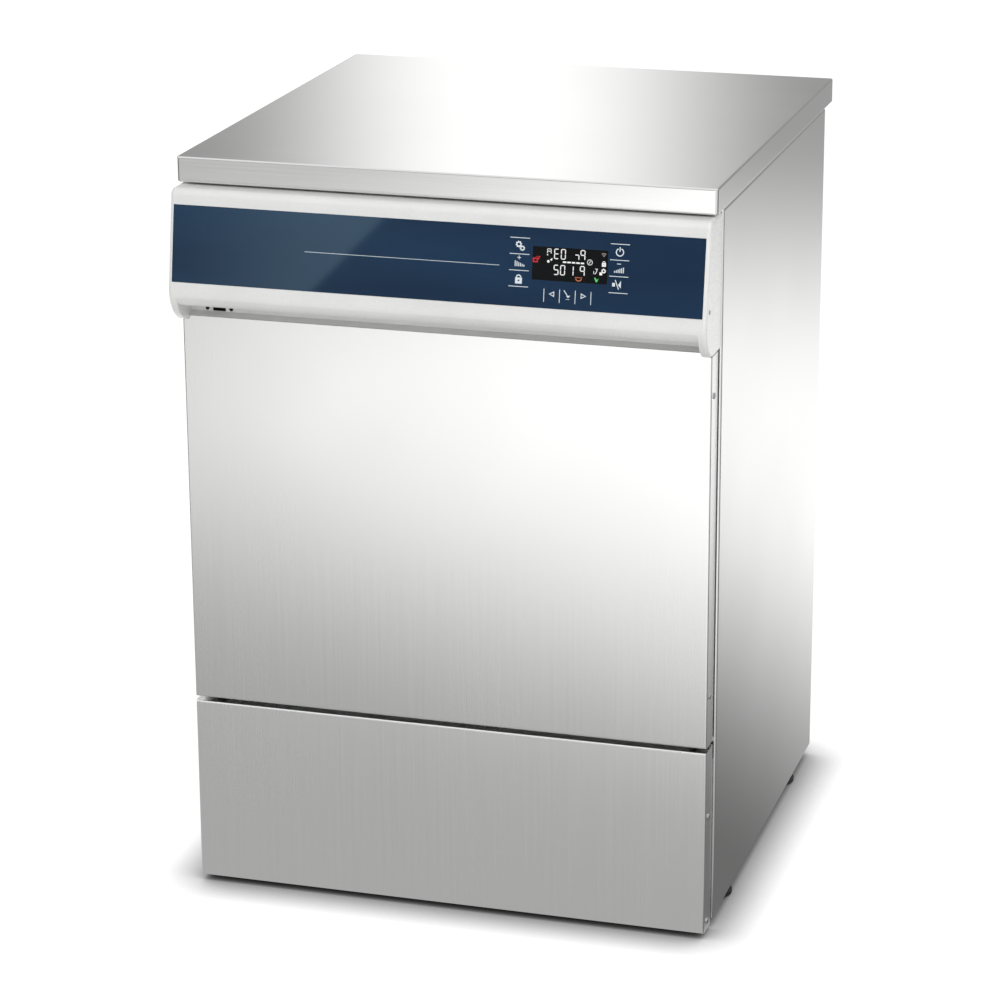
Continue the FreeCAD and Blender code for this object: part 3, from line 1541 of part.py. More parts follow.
DISPENSER_BASE = DOOR_BACK + S.liner_rise - S.dispenser_depth - 4


def make_dispenser():
    x, z = DISPENSER_X, DISPENSER_Z
    face = DOOR_BACK + S.liner_rise
    tray = block(x, (DISPENSER_BASE, face), z)
    rim = block((x[0] - 6, x[1] + 6), (face, face + 2), (z[0] - 6, z[1] + 6))
    cup = block(
        (x[0] + 8, x[1] - 8),
        (DISPENSER_BASE + 3, face + 3),
        (z[0] + 8, z[1] - 40),
    )
    cup = eased(cup, 8, lambda edge: runs(edge, "y"))
    clip = rod("Y", (0, z[1] - 18), 10, (face, face + 5))
    pin = (face + 2 + S.seat_gap + S.lid_barrel, z[0] + 3)
    shaft = rod("X", pin, S.lid_pin, (x[0] + 2, x[1] - 2))
    ears = []
    for side in (-1, 1):
        ears.append(
            block(ordered(side * (x[1] - 2), side * (x[1] + 1)), (face, face + 2 + S.lid_sheet * 1.8), (z[0], z[0] + 6))
        )
    keep("dispenser", merged(carved(merged(tray, rim), cup), clip, shaft, *ears))
    lid_y = (face + 2 + S.seat_gap, face + 2 + S.seat_gap + S.lid_sheet)
    lid = block((x[0] + 5, x[1] - 5), lid_y, (z[0] + 3, z[1] - 34))
    lid = eased(lid, 6, lambda edge: runs(edge, "y") and edge.BoundBox.ZMin > (z[0] + 20).value)
    barrel = rod("X", pin, S.lid_barrel, (x[0] + 5, x[1] - 5))
    bore = rod("X", pin, S.lid_pin + S.running_gap, (x[0], x[1]))
    keep("dispenser_lid", carved(merged(lid, barrel), bore))


def make_lock():
    front = FRAME_BACK
    half = S.lock_width / 2
    low = CHAMBER_ROOF + S.tub_sheet + 1
    slot = (S.strike_width + 4) / 2
    bolt_y = front + 14
    top = low + S.lock_height
    case = block((-half, half), (front, front + S.lock_depth), (low, top))
    mouth = block(
        (-slot, slot), (front - 1, front + 28), (STRIKE_Z - 2, STRIKE_Z + S.strike_sheet + 4)
    )
    bore = rod("Z", (0, bolt_y), S.bolt_radius + S.running_gap, (low + 2, top + 1))
    keep("lock_housing", carved(case, mouth, bore))
    bolt_low = STRIKE_Z + S.strike_sheet + 3
    head = rod("Z", (0, bolt_y), S.bolt_radius + 1.5, (top + S.bolt_travel + 0.3, top + S.bolt_travel + 2.3))
    keep("lock_bolt", merged(rod("Z", (0, bolt_y), S.bolt_radius, (bolt_low, top + S.bolt_travel + 1)), head))
    width = S.strike_width / 2
    tongue = block((-width, width), (DOOR_BACK + 1, bolt_y + 9), (STRIKE_Z, STRIKE_Z + S.strike_sheet))
    base = block((-width - 6, width + 6), (DOOR_BACK, DOOR_BACK + 2), (STRIKE_Z - 0.6, STRIKE_Z + S.strike_sheet + 5))
    reach = S.bolt_radius + 2
    hole = block((-reach, reach), (bolt_y - reach, bolt_y + reach), (STRIKE_Z - 1, STRIKE_Z + S.strike_sheet + 1))
    keep("lock_strike", carved(merged(tongue, base), hole))


def make_condenser():
    y = (TUB_BACK + S.tub_sheet, TUB_BACK + S.tub_sheet + S.condenser_depth)
    case = eased(block(CONDENSER_X, y, CONDENSER_Z), 8, lambda edge: runs(edge, "y"))
    port = rod("Y", CONDENSER_PORT, 12, (TUB_BACK - 4, y[0] + 2))
    keep("steam_condenser", merged(case, port))


def make_service_side():
    valves = []
    back = CABINET_BACK + 18
    for x in VALVE_X:
        centre = (x, S.valve_level)
        body = block((x - 17, x + 17), (REAR_INNER - 34, REAR_INNER), (S.valve_level - 17, S.valve_level + 17))
        coil = rod("Z", (x, REAR_INNER - 18), 13, (S.valve_level + 16, S.valve_level + 48))
        spout = rod("Z", (x, REAR_INNER - 18), 7, (S.valve_level - 34, S.valve_level))
        thread = rod("Y", centre, S.valve_thread, (REAR_INNER, back))
        bore = rod("Y", centre, S.valve_thread - 4, (REAR_INNER + 2, back + 1))
        valves.append(carved(merged(body, coil, spout, thread), bore))
    group = doc.addObject("Part::Compound", "InletValves")
    group.Links = valves
    keep("inlet_valves", group)
    centre = (GLAND_X, S.gland_level)
    outside = REAR_INNER + S.rear_sheet
    nut = rod("Y", centre, S.gland_radius, (outside, outside + 8))
    dome = taper("Y", centre, (S.gland_radius - 1, S.gland_radius - 4), (outside + 8, outside + 20))
    shank = rod("Y", centre, S.gland_radius - 3 - S.running_gap, (REAR_INNER - 5, outside))
    lock_nut = rod("Y", centre, S.gland_radius, (REAR_INNER - 5, REAR_INNER))
    bore = rod("Y", centre, 4, (REAR_INNER - 6, outside + 21))
    keep("mains_gland", carved(merged(nut, dome, shank, lock_nut), bore))
    box_z = (S.gland_level + 30, S.gland_level + 100)
    box = block((GLAND_X - 35, GLAND_X + 25), (REAR_INNER - 32, REAR_INNER), box_z)
    keep("terminal_box", eased(box, 4, lambda edge: runs(edge, "y")))


def make_dosing_pumps():
    face = CABINET_FACE + 26
    first = S.sump_radius + 62
    x_low = first - 34
    x_high = first + S.dosing_pitch + 34
    level = TRAY_TOP + 62
    plate_z = (TRAY_TOP, level + 36)
    upright = block((x_low, x_high), (face, face + 2), plate_z)
    foot = block((x_low, x_high), (face, face + 30), (TRAY_TOP, TRAY_TOP + 2))
    keep("dosing_bracket", merged(upright, foot))
    for i, name in enumerate(("left", "right")):
        centre = (first + i * S.dosing_pitch, level)
        case = rod("Y", centre, S.dosing_head, (face - 18, face))
        cover = eased(
            rod("Y", centre, S.dosing_head - 2, (face - 24, face - 18)),
            3,
            lambda edge: edge.BoundBox.YMax < (face - 22).value,
        )
        x = centre[0]
        motor = rod("Y", centre, 15, (face + 2, face + 34))
        tubes = [rod("Z", (x + side * 12, face - 9), 3.5, (level - 44, level)) for side in (-1, 1)]
        body = merged(case, cover, *tubes)
        group = doc.addObject("Part::Compound", "DosingPump")
        group.Links = [body, motor]
        keep(f"dosing_pump_{name}", group)


# Assembly: every piece in its place, checked and written out


def build():
    make_worktop()
    make_side_panels()
    make_rear_panel()
    make_base_tray()
    make_feet()
    make_plinth()
    make_door_skin()
    make_door_liner()
    make_door_insulation()
    make_fascia()
    make_controls()
    make_hinges()
    make_springs()
    make_wash_chamber()
    make_gasket()
    make_rack_rails()
    make_tub_supports()
    make_sump()
    make_filters()
    make_spray_arm("lower_spray_arm", S.arm_level, True)
    make_spray_arm("upper_spray_arm", UPPER_ARM_Z, False)
    make_hubs()
    make_supply_pipe()
    make_pumps()
    make_drain()
    make_heater()
    make_softener()
    make_dispenser()
    make_lock()
    make_condenser()
    make_service_side()
    make_dosing_pumps()


def check_and_write():
    doc.recompute()
    failed = [thing.Label for thing in doc.Objects if {"Invalid", "Error"} & set(thing.State)]
    if failed:
        raise RuntimeError(f"features that failed: {failed}")
    for name, thing in pieces.items():
        shape = thing.Shape
        if shape.isNull() or not shape.isValid() or not shape.Solids:
            raise RuntimeError(f"{name} is not a sound solid")
    os.makedirs("parts", exist_ok=True)
    for name, thing in pieces.items():
        thing.Shape.exportStep(f"parts/{name}.step")
        box = thing.Shape.BoundBox
        print(f"{name}: {len(thing.Shape.Solids)} solid(s), {box.XLength:.1f} x {box.YLength:.1f} x {box.ZLength:.1f} mm")
    print(f"{len(pieces)} pieces")


build()
check_and_write()
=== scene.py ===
# %% [markdown]
# Laboratory washer-disinfector
# The machine is a steel cabinet with a drop-down door. Its construction comes from a CAD model
# that is already in place, so this lesson is about looks: the finish of every sheet and moulding,
# the printed keys and the lit display, the screws, the springs and the studio around it.

import json
import math

import bmesh
import bpy
from mathutils import Matrix, Vector


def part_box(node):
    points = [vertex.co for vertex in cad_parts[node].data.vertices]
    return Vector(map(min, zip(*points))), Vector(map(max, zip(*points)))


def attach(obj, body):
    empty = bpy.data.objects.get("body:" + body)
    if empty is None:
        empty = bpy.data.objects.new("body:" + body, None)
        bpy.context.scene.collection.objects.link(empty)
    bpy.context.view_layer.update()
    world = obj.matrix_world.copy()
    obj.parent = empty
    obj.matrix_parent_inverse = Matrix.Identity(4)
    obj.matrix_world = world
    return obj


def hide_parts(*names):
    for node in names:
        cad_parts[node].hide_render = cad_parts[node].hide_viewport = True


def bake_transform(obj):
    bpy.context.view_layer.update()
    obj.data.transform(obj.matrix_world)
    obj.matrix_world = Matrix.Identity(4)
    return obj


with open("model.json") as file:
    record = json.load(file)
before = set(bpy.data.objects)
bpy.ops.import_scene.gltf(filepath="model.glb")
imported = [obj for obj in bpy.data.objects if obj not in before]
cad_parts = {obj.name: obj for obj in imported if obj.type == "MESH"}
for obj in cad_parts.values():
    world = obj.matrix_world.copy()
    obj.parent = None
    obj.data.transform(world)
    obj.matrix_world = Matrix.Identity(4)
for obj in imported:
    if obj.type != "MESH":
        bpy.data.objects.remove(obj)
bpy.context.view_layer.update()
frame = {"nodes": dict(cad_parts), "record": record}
nodes = frame["nodes"]
print("pieces from CAD:", len(nodes))

# %% [markdown]
# Units and colours
# Blender works in metres and this machine is drawn in millimetres, so one value turns the one into
# the other. Colours are written as sRGB hex, the way a paint chart gives them. A shader wants
# linear light instead, so one function does the turning.

# %% Units and colours
MM = 0.001


def rgb(text):
    """The linear colour of an sRGB hex value such as #C8C8C6."""
    channels = [int(text[i : i + 2], 16) / 255 for i in (1, 3, 5)]
    linear = [c / 12.92 if c <= 0.04045 else ((c + 0.055) / 1.055) ** 2.4 for c in channels]
    return (*linear, 1.0)


print("mid grey in linear light:", round(rgb("#808080")[0], 3))

# %% [markdown]
# One helper for every node
# Materials and Geometry Nodes are both graphs of nodes. Adding a node takes the same three steps
# each time: make it, set its own options, then fill or link its inputs. One function does all three.
# The short functions after it each make one kind of node and give back its output, so that a graph
# reads from top to bottom like a recipe.

# %% The node helper


def add(tree, kind, inputs=None, options=None):
    """Adds a node. inputs are values or output sockets by name or number, options are its own settings."""
    made = tree.nodes.new(kind)
    for name, value in (options or {}).items():
        setattr(made, name, value)
    for name, value in (inputs or {}).items():
        if isinstance(value, bpy.types.NodeSocket):
            tree.links.new(value, made.inputs[name])
        else:
            made.inputs[name].default_value = value
    return made


def new_material(name):
    """An empty material with a shader graph, and that graph."""
    material = bpy.data.materials.new(name)
    material.use_nodes = True
    material.node_tree.nodes.clear()
    return material, material.node_tree


def finish(material, shader):
    """Links a shader to the material's output."""
    add(material.node_tree, "ShaderNodeOutputMaterial", {"Surface": shader})
    return material


def principled(material, inputs):
    """Gives a material one Principled shader, which suits most real surfaces."""
    shader = add(material.node_tree, "ShaderNodeBsdfPrincipled", inputs)
    return finish(material, shader.outputs[0])


print("node helper ready")

# %% Places and numbers


def axes_of(tree, kind="Object"):
    """The x, y and z of each point, as three sockets."""
    place = add(tree, "ShaderNodeTexCoord").outputs[kind]
    return add(tree, "ShaderNodeSeparateXYZ", {0: place}).outputs


def placed(tree, lengths, turn=(0, 0, 0)):
    """Object coordinates for a pattern whose cells measure these lengths in millimetres."""
    place = add(tree, "ShaderNodeTexCoord").outputs["Object"]
    scale = [1 / (length * MM) for length in lengths]
    inputs = {"Vector": place, "Scale": scale, "Rotation": turn}
    return add(tree, "ShaderNodeMapping", inputs).outputs[0]


def math_node(tree, operation, first, second=0.0):
    """One step of arithmetic between two sockets or numbers."""
    return add(tree, "ShaderNodeMath", {0: first, 1: second}, {"operation": operation}).outputs[0]


def ranged(tree, value, low, high, start=0.3, end=0.7, kind="LINEAR"):
    """Spreads the values from start to end, by default the middle of a noise, over low to high."""
    limits = {"Value": value, "From Min": start, "From Max": end, "To Min": low, "To Max": high}
    return add(tree, "ShaderNodeMapRange", limits, {"interpolation_type": kind}).outputs[0]


def smooth_step(tree, value, start, end, low, high):
    """A soft change from low to high while a value goes from start to end."""
    return ranged(tree, value, low, high, start, end, "SMOOTHSTEP")


def between(tree, share, first, second):
    """A number between two others by a share from 0 to 1."""
    return add(tree, "ShaderNodeMix", {0: share, 2: first, 3: second}).outputs[0]


print("number helpers ready")

# %% Patterns, colours and light


def noise(tree, lengths, detail=2.0):
    """A noise whose blobs measure one length in millimetres, or three along the axes."""
    if isinstance(lengths, float):
        lengths = [lengths] * 3
    inputs = {"Vector": placed(tree, lengths), "Scale": 1.0, "Detail": detail}
    return add(tree, "ShaderNodeTexNoise", inputs).outputs[0]


def bumped(tree, height, distance, strength=1.0, below=None):
    """A bump of a real depth, in millimetres."""
    inputs = {"Height": height, "Distance": distance * MM, "Strength": strength}
    if below is not None:
        inputs["Normal"] = below
    return add(tree, "ShaderNodeBump", inputs).outputs[0]


def blended(tree, share, first, second):
    """A colour between two others by a share from 0 to 1."""
    mix = add(tree, "ShaderNodeMix", {0: share, 6: first, 7: second}, {"data_type": "RGBA"})
    return mix.outputs[2]


def toned(tree, pattern, dark, light):
    """A colour that follows a pattern between two sRGB hex values."""
    return blended(tree, ranged(tree, pattern, 0.0, 1.0), rgb(dark), rgb(light))


def emission(tree, color, strength):
    """A shader that gives light of its own."""
    return add(tree, "ShaderNodeEmission", {"Color": color, "Strength": strength}).outputs[0]


def mixed(tree, share, first, second):
    """A shader between two others by a share from 0 to 1."""
    return add(tree, "ShaderNodeMixShader", {0: share, 1: first, 2: second}).outputs[0]


print("pattern helpers ready")

# %% [markdown]
# Satin stainless steel
# The casing is stainless sheet, ground with a fine belt, which leaves straight scratches along one
# direction. Seen close they are about 0.1 mm wide; at this distance they blur into faint streaks, so
# the pattern here is drawn fifteen times coarser, at 1.5 mm, or it would not show at all.
# The scratches change three things: the grey a little, the roughness a little, and the surface very
# slightly. Noise that is stretched along the grain gives all three. A metal keeps the default IOR.

# %% Satin stainless steel
GRAIN_WIDTH = 1.5
GRAIN_LENGTH = 160.0


def satin_steel(name, dark, light, rough, along, haze):
    """Belt-ground stainless sheet with its grain along one axis."""
    material, tree = new_material(name)
    size = [GRAIN_WIDTH] * 3
    size["XYZ".index(along)] = GRAIN_LENGTH
    grain = noise(tree, size, 3.0)
    worn = ranged(tree, noise(tree, 170.0, 1.0), -haze, haze)
    streak = ranged(tree, grain, rough - haze, rough + haze)
    look = {
        "Base Color": toned(tree, grain, dark, light),
        "Metallic": 1.0,
        "Roughness": math_node(tree, "ADD", streak, worn),
        "Normal": bumped(tree, grain, 0.002, 0.1),
    }
    return principled(material, look)


steel_door = satin_steel("satin_steel_door", "#E4E4E3", "#E7E7E6", 0.26, "Z", 0.01)
steel_plinth = satin_steel("satin_steel_plinth", "#F0F0EF", "#F3F3F2", 0.26, "Z", 0.01)
steel_top = satin_steel("satin_steel_worktop", "#E1E1E0", "#E5E5E4", 0.17, "X", 0.01)
steel_side = satin_steel("satin_steel_side", "#E3E3E2", "#E6E6E5", 0.25, "Z", 0.01)
steel_tub = satin_steel("pickled_steel_tub", "#DCDDDD", "#E3E4E4", 0.3, "X", 0.03)
print("stainless finishes:", 5)

# %% [markdown]
# Galvanised sheet
# Hidden panels and brackets are steel that was dipped in zinc. The zinc freezes in flat crystals,
# called spangle, each a slightly different grey. A Voronoi texture gives such cells: its colour is
# one random value for each cell, and the cells here are about 9 mm across.

# %% Galvanised sheet
SPANGLE = 9.0


def galvanised():
    """Zinc-coated sheet with spangle."""
    material, tree = new_material("galvanised_sheet")
    place = placed(tree, [SPANGLE] * 3)
    cells = add(tree, "ShaderNodeTexVoronoi", {"Vector": place, "Scale": 1.0})
    value = add(tree, "ShaderNodeSeparateColor", {0: cells.outputs["Color"]}).outputs
    look = {
        "Base Color": blended(tree, value[0], rgb("#A6A9AB"), rgb("#B7B9BB")),
        "Metallic": 1.0,
        "Roughness": ranged(tree, value[1], 0.38, 0.48, 0.0, 1.0),
        "Normal": bumped(tree, noise(tree, 2.5, 4.0), 0.02, 0.3),
    }
    return principled(material, look)


zinc = galvanised()
print("made", zinc.name)

# %% [markdown]
# Moulded plastics
# The fascia is white ABS from a polished mould: smooth, a little glossy. The sump, the drain pump and
# the caps are polypropylene, and the feet and the port are nylon. Both are duller and have a faint
# cloudy surface. The gasket and the drain hose are rubber, which is duller still. One function makes
# them all from two tones, a roughness and the width and depth of the mould's texture.

# %% Moulded plastics


def moulded(name, dark, light, rough, grain, depth, coat=0.0):
    """Injection-moulded plastic with the fine texture of its mould."""
    material, tree = new_material(name)
    texture = noise(tree, grain, 3.0)
    look = {
        "Base Color": toned(tree, noise(tree, 60.0), dark, light),
        "Roughness": ranged(tree, texture, rough * 0.9, rough * 1.1),
        "IOR": 1.5,
        "Coat Weight": coat,
        "Coat Roughness": 0.12,
        "Normal": bumped(tree, texture, depth, 0.3),
    }
    return principled(material, look)


abs_white = moulded("moulded_abs_white", "#E2E2E1", "#E7E7E6", 0.28, 0.9, 0.006, 0.3)
nylon_black = moulded("moulded_nylon_black", "#151516", "#1D1D1E", 0.5, 1.2, 0.02)
pp_grey = moulded("moulded_polypropylene_grey", "#747779", "#7E8183", 0.45, 1.5, 0.02)
pp_light = moulded("moulded_polypropylene_natural", "#D2D1CA", "#DEDDD7", 0.42, 1.5, 0.02)
pp_blue = moulded("moulded_polypropylene_blue", "#1E4E86", "#275A95", 0.4, 1.2, 0.015)
rubber = moulded("moulded_rubber_dark", "#161617", "#232324", 0.7, 0.7, 0.03)
print("plastics and rubber:", 6)

# %% [markdown]
# Cast, turned and drawn metals
# The circulation pump is cast aluminium with a sand-like skin. Screws, pins and the lock bolt are
# turned stainless, and the springs are drawn wire. All share one graph, an even noise: coarse for
# the casting, and fine for turned and drawn parts, whose tool marks are too small to show as lines.

# %% Cast, turned and drawn metals


def plain_metal(name, dark, light, rough, grain, depth):
    """A metal whose skin is an even, fine texture."""
    material, tree = new_material(name)
    texture = noise(tree, grain, 4.0)
    look = {
        "Base Color": toned(tree, texture, dark, light),
        "Metallic": 1.0,
        "Roughness": ranged(tree, texture, rough * 0.85, rough * 1.15),
        "Normal": bumped(tree, texture, depth, 0.5),
    }
    return principled(material, look)


cast_alloy = plain_metal("cast_aluminium", "#9EA1A4", "#B2B4B6", 0.5, 1.6, 0.08)
turned_steel = plain_metal("turned_stainless_screw", "#B4B5B6", "#C9CACB", 0.3, 0.5, 0.005)
blackened = plain_metal("blackened_screw", "#1B1B1C", "#29292A", 0.42, 0.5, 0.005)
spring_wire = plain_metal("drawn_spring_wire", "#85878A", "#9A9C9E", 0.35, 0.4, 0.006)
print("other metals:", 4)

# %% [markdown]
# Glass wool felt
# The door is filled with a mineral wool slab. Its fibres lie mostly flat, so the noise is squashed
# in depth, and a second, finer noise makes the fuzz. Sheen gives the pale edge that fibres have.

# %% Glass wool felt


def felt():
    """A compressed slab of mineral fibre."""
    material, tree = new_material("mineral_wool_felt")
    fibre = noise(tree, (14.0, 2.0, 2.5), 5.0)
    below = bumped(tree, fibre, 0.8, 0.6)
    look = {
        "Base Color": toned(tree, fibre, "#A89B78", "#CABF9C"),
        "Roughness": 0.95,
        "Sheen Weight": 0.4,
        "Sheen Roughness": 0.6,
        "Normal": bumped(tree, noise(tree, 1.2, 3.0), 0.25, 0.5, below),
    }
    return principled(material, look)


wool = felt()
print("made", wool.name)

# %% [markdown]
# Solder mask
# A circuit board is glass fibre under green lacquer, with paler tracks that show through it. A
# brick texture gives straight runs with breaks, which read as tracks at this size.

# %% Solder mask
TRACK = 5.0


def solder_mask():
    """Green lacquer over copper tracks."""
    material, tree = new_material("solder_mask_board")
    pattern = {
        "Vector": placed(tree, [TRACK] * 3, (math.radians(90), 0, 0)),
        "Color1": rgb("#1E5A34"),
        "Color2": rgb("#1A5230"),
        "Mortar": rgb("#3A7D4C"),
        "Scale": 1.0,
        "Mortar Size": 0.06,
    }
    tracks = add(tree, "ShaderNodeTexBrick", pattern).outputs
    look = {
        "Base Color": tracks["Color"],
        "Roughness": 0.35,
        "IOR": 1.55,
        "Normal": bumped(tree, tracks["Fac"], -0.035, 0.6),
    }
    return principled(material, look)


board = solder_mask()
print("made", board.name)

# %% [markdown]
# The control film
# The controls are one sheet of polyester, printed dark blue on its back, so the colour lies under a
# clear glossy layer. A window in the print is left almost black for the display. The window is a
# mask on Object coordinates: inside its width and height the colour is black, outside it is blue.
# First the sloping plane of the film has to be known. It is read from the film's own largest face.
# Places on the slope are counted from the lip, 7.8 mm below the film's lower edge.

# %% Measure the sloping face


def front_plane(name):
    """The film's face: middle of its lower edge, direction up the slope, and outward normal."""
    mesh = nodes[name].data
    faces = [face for face in mesh.polygons if face.normal.y < -0.5]
    widest = max(faces, key=lambda face: face.area)
    normal = widest.normal.copy()
    up = Vector((0, normal.z, -normal.y)).normalized()
    points = [mesh.vertices[i].co for face in faces for i in face.vertices]
    lowest = min(points, key=lambda point: point.z)
    return Vector((0, lowest.y, lowest.z)), up, normal


film_foot, film_up, film_normal = front_plane("control_insert")
FILM_FOOT = 7.8
print("film starts at", [round(c / MM, 1) for c in film_foot])

# %% The film's material
DISPLAY_X = (109.0, 190.5)
DISPLAY_S = (37.1, 72.4)


def on_film(x, s):
    """A point of the slope: x across the machine, s up the slope from the lip, in millimetres."""
    return film_foot + Vector((x * MM, 0, 0)) + film_up * ((s - FILM_FOOT) * MM)


def inside(tree, value, low, high):
    """1 where a value lies between two limits, else 0."""
    above = math_node(tree, "GREATER_THAN", value, low)
    below = math_node(tree, "LESS_THAN", value, high)
    return math_node(tree, "MULTIPLY", above, below)


def control_film():
    """Polyester film printed blue from behind, with a dark display window."""
    material, tree = new_material("printed_polyester_film")
    axes = axes_of(tree)
    levels = [on_film(0, s).z for s in DISPLAY_S]
    across = inside(tree, axes[0], DISPLAY_X[0] * MM, DISPLAY_X[1] * MM)
    upward = inside(tree, axes[2], levels[0], levels[1])
    window = math_node(tree, "MULTIPLY", across, upward)
    blue = toned(tree, noise(tree, (240.0, 240.0, 60.0), 1.0), "#0F2944", "#15324F")
    look = {
        "Base Color": blended(tree, window, blue, rgb("#020203")),
        "Roughness": 0.22,
        "IOR": 1.45,
        "Coat Weight": 1.0,
        "Coat Roughness": 0.03,
        "Normal": bumped(tree, noise(tree, 0.6), 0.002, 0.2),
    }
    return principled(material, look)


film = control_film()
glass = moulded("black_display_glass", "#060607", "#0B0B0C", 0.12, 6.0, 0.002, 0.5)
print("display window:", DISPLAY_X[1] - DISPLAY_X[0], "by", DISPLAY_S[1] - DISPLAY_S[0], "mm")

# %% [markdown]
# Give every CAD piece its finish
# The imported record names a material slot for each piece, so the finishes are handed out by slot. Two
# pieces have their own: the worktop, whose grain runs from side to side while the casing's runs from
# top to bottom, and the plinth panel, which is a lighter sheet than the door.

# %% Hand out the finishes
SLOT_FINISH = {
    "casing_steel": steel_side,
    "door_steel": steel_door,
    "inner_steel": steel_tub,
    "zinc_sheet": zinc,
    "white_plastic": abs_white,
    "insert_film": film,
    "display_glass": glass,
    "circuit_board": board,
    "black_plastic": nylon_black,
    "dark_rubber": rubber,
    "grey_plastic": pp_grey,
    "light_plastic": pp_light,
    "blue_plastic": pp_blue,
    "wool": wool,
    "spring_steel": spring_wire,
    "screw_steel": turned_steel,
    "alloy": cast_alloy,
}
OWN_FINISH = {"worktop": steel_top, "plinth_panel": steel_plinth}
SLOT_OF = {part["node"]: part["material_slot"] for part in frame["record"]["subparts"]}

for name, slot_name in SLOT_OF.items():
    skin = nodes[name].data
    skin.materials.clear()
    skin.materials.append(OWN_FINISH.get(name, SLOT_FINISH[slot_name]))
print("finished nodes:", len(SLOT_OF))

# %% [markdown]
# Finding repeated parts
# A CAD node can hold several equal solids, such as four screws. To dress each of them the script has
# to know where they are. A copy of the mesh is merged, and its vertices are sorted into islands that
# hang together; each island's box is one screw.

# %% Find the islands of a node


def islands(name):
    """The lowest and highest corner of each separate solid in a node."""
    copy = bmesh.new()
    copy.from_mesh(nodes[name].data)
    bmesh.ops.remove_doubles(copy, verts=copy.verts, dist=0.002 * MM)
    left = set(copy.verts)
    boxes = []
    while left:
        front = [left.pop()]
        members = []
        while front:
            vert = front.pop()
            members.append(vert.co.copy())
            for edge in vert.link_edges:
                other = edge.other_vert(vert)
                if other in left:
                    left.remove(other)
                    front.append(other)
        low = Vector([min(co[i] for co in members) for i in range(3)])
        high = Vector([max(co[i] for co in members) for i in range(3)])
        boxes.append((low, high))
    copy.free()
    return sorted(boxes, key=lambda box: tuple(box[0]))


print("door screws:", len(islands("door_screws")))

# %% [markdown]
# Turned shapes
# Screws are turned on a lathe, so they are made the same way: a half profile of (radius, height)
# points is swept round the Z axis. Points on the axis become one closing vertex.

# %% Turned shapes


def in_scene(name, data):
    """A new object in the scene."""
    made = bpy.data.objects.new(name, data)
    bpy.context.scene.collection.objects.link(made)
    return made


def new_piece(name, mesh_data, material):
    """A mesh object in the scene with one material."""
    mesh = bpy.data.meshes.new(name)
    mesh_data.to_mesh(mesh)
    mesh_data.free()
    mesh.materials.append(material)
    return in_scene(name, mesh)


def turned(profile, steps):
    """A closed solid of revolution round Z, as a bmesh. The profile starts and ends on the axis."""
    solid = bmesh.new()
    rings = []
    for radius, height in profile:
        count = 1 if radius == 0 else steps
        ring = []
        for i in range(count):
            angle = 2 * math.pi * i / steps
            ring.append(solid.verts.new((radius * math.cos(angle), radius * math.sin(angle), height)))
        rings.append(ring)
    for lower, upper in zip(rings, rings[1:]):
        for i in range(steps):
            j = (i + 1) % steps
            corners = [lower[i % len(lower)], lower[j % len(lower)]]
            corners += [upper[j % len(upper)], upper[i % len(upper)]]
            unique = list(dict.fromkeys(corners))
            if len(unique) > 2:
                solid.faces.new(unique)
    bmesh.ops.recalc_face_normals(solid, faces=solid.faces)
    return solid


def cross_recess(width, reach, depth, top):
    """The cross-shaped hole for a screwdriver, as a bmesh that is cut out of a head."""
    tool = bmesh.new()
    half = width / 2
    outline = []
    for quarter in range(4):
        turn = Matrix.Rotation(quarter * math.pi / 2, 2)
        arm = (half, -half), (reach, -half), (reach, half)
        outline += [turn @ Vector(point) for point in arm]
    low = [tool.verts.new((p.x * 0.6, p.y * 0.6, top - depth)) for p in outline]
    high = [tool.verts.new((p.x, p.y, top + depth)) for p in outline]
    tool.faces.new(low)
    tool.faces.new(high)
    for i in range(len(outline)):
        j = (i + 1) % len(outline)
        tool.faces.new([low[i], low[j], high[j], high[i]])
    bmesh.ops.recalc_face_normals(tool, faces=tool.faces)
    return tool


print("lathe ready")

# %% [markdown]
# Geometry Nodes, started and ended alike
# Three groups of small parts come from Geometry Nodes: screws, springs and hose threads. Each tree
# has named inputs, and each ends in the same way: instances are made real, because an export drops
# them, and the finish is set last. A carrier mesh runs the tree; its result is kept as a plain mesh
# and the carrier goes.

# %% Start, end and run a tree


def new_tree(name, inputs):
    """A Geometry Nodes tree with named inputs of given kinds, and its input sockets."""
    tree = bpy.data.node_groups.new(name, "GeometryNodeTree")
    for label, kind in inputs.items():
        tree.interface.new_socket(label, in_out="INPUT", socket_type="NodeSocket" + kind)
    tree.interface.new_socket("Result", in_out="OUTPUT", socket_type="NodeSocketGeometry")
    return tree, add(tree, "NodeGroupInput").outputs


def end_tree(tree, geometry, skin):
    """Makes instances real, gives them their finish and sends them out."""
    real = add(tree, "GeometryNodeRealizeInstances", {0: geometry})
    dressed = add(tree, "GeometryNodeSetMaterial", {0: real.outputs[0], "Material": skin})
    add(tree, "NodeGroupOutput", {0: dressed.outputs[0]})
    return tree


def made_real(carrier, name):
    """The evaluated geometry of a carrier as a plain mesh object. The carrier is removed."""
    bpy.context.view_layer.update()
    graph = bpy.context.evaluated_depsgraph_get()
    mesh = bpy.data.meshes.new_from_object(carrier.evaluated_get(graph))
    mesh.name = name
    bpy.data.objects.remove(carrier)
    return in_scene(name, mesh)


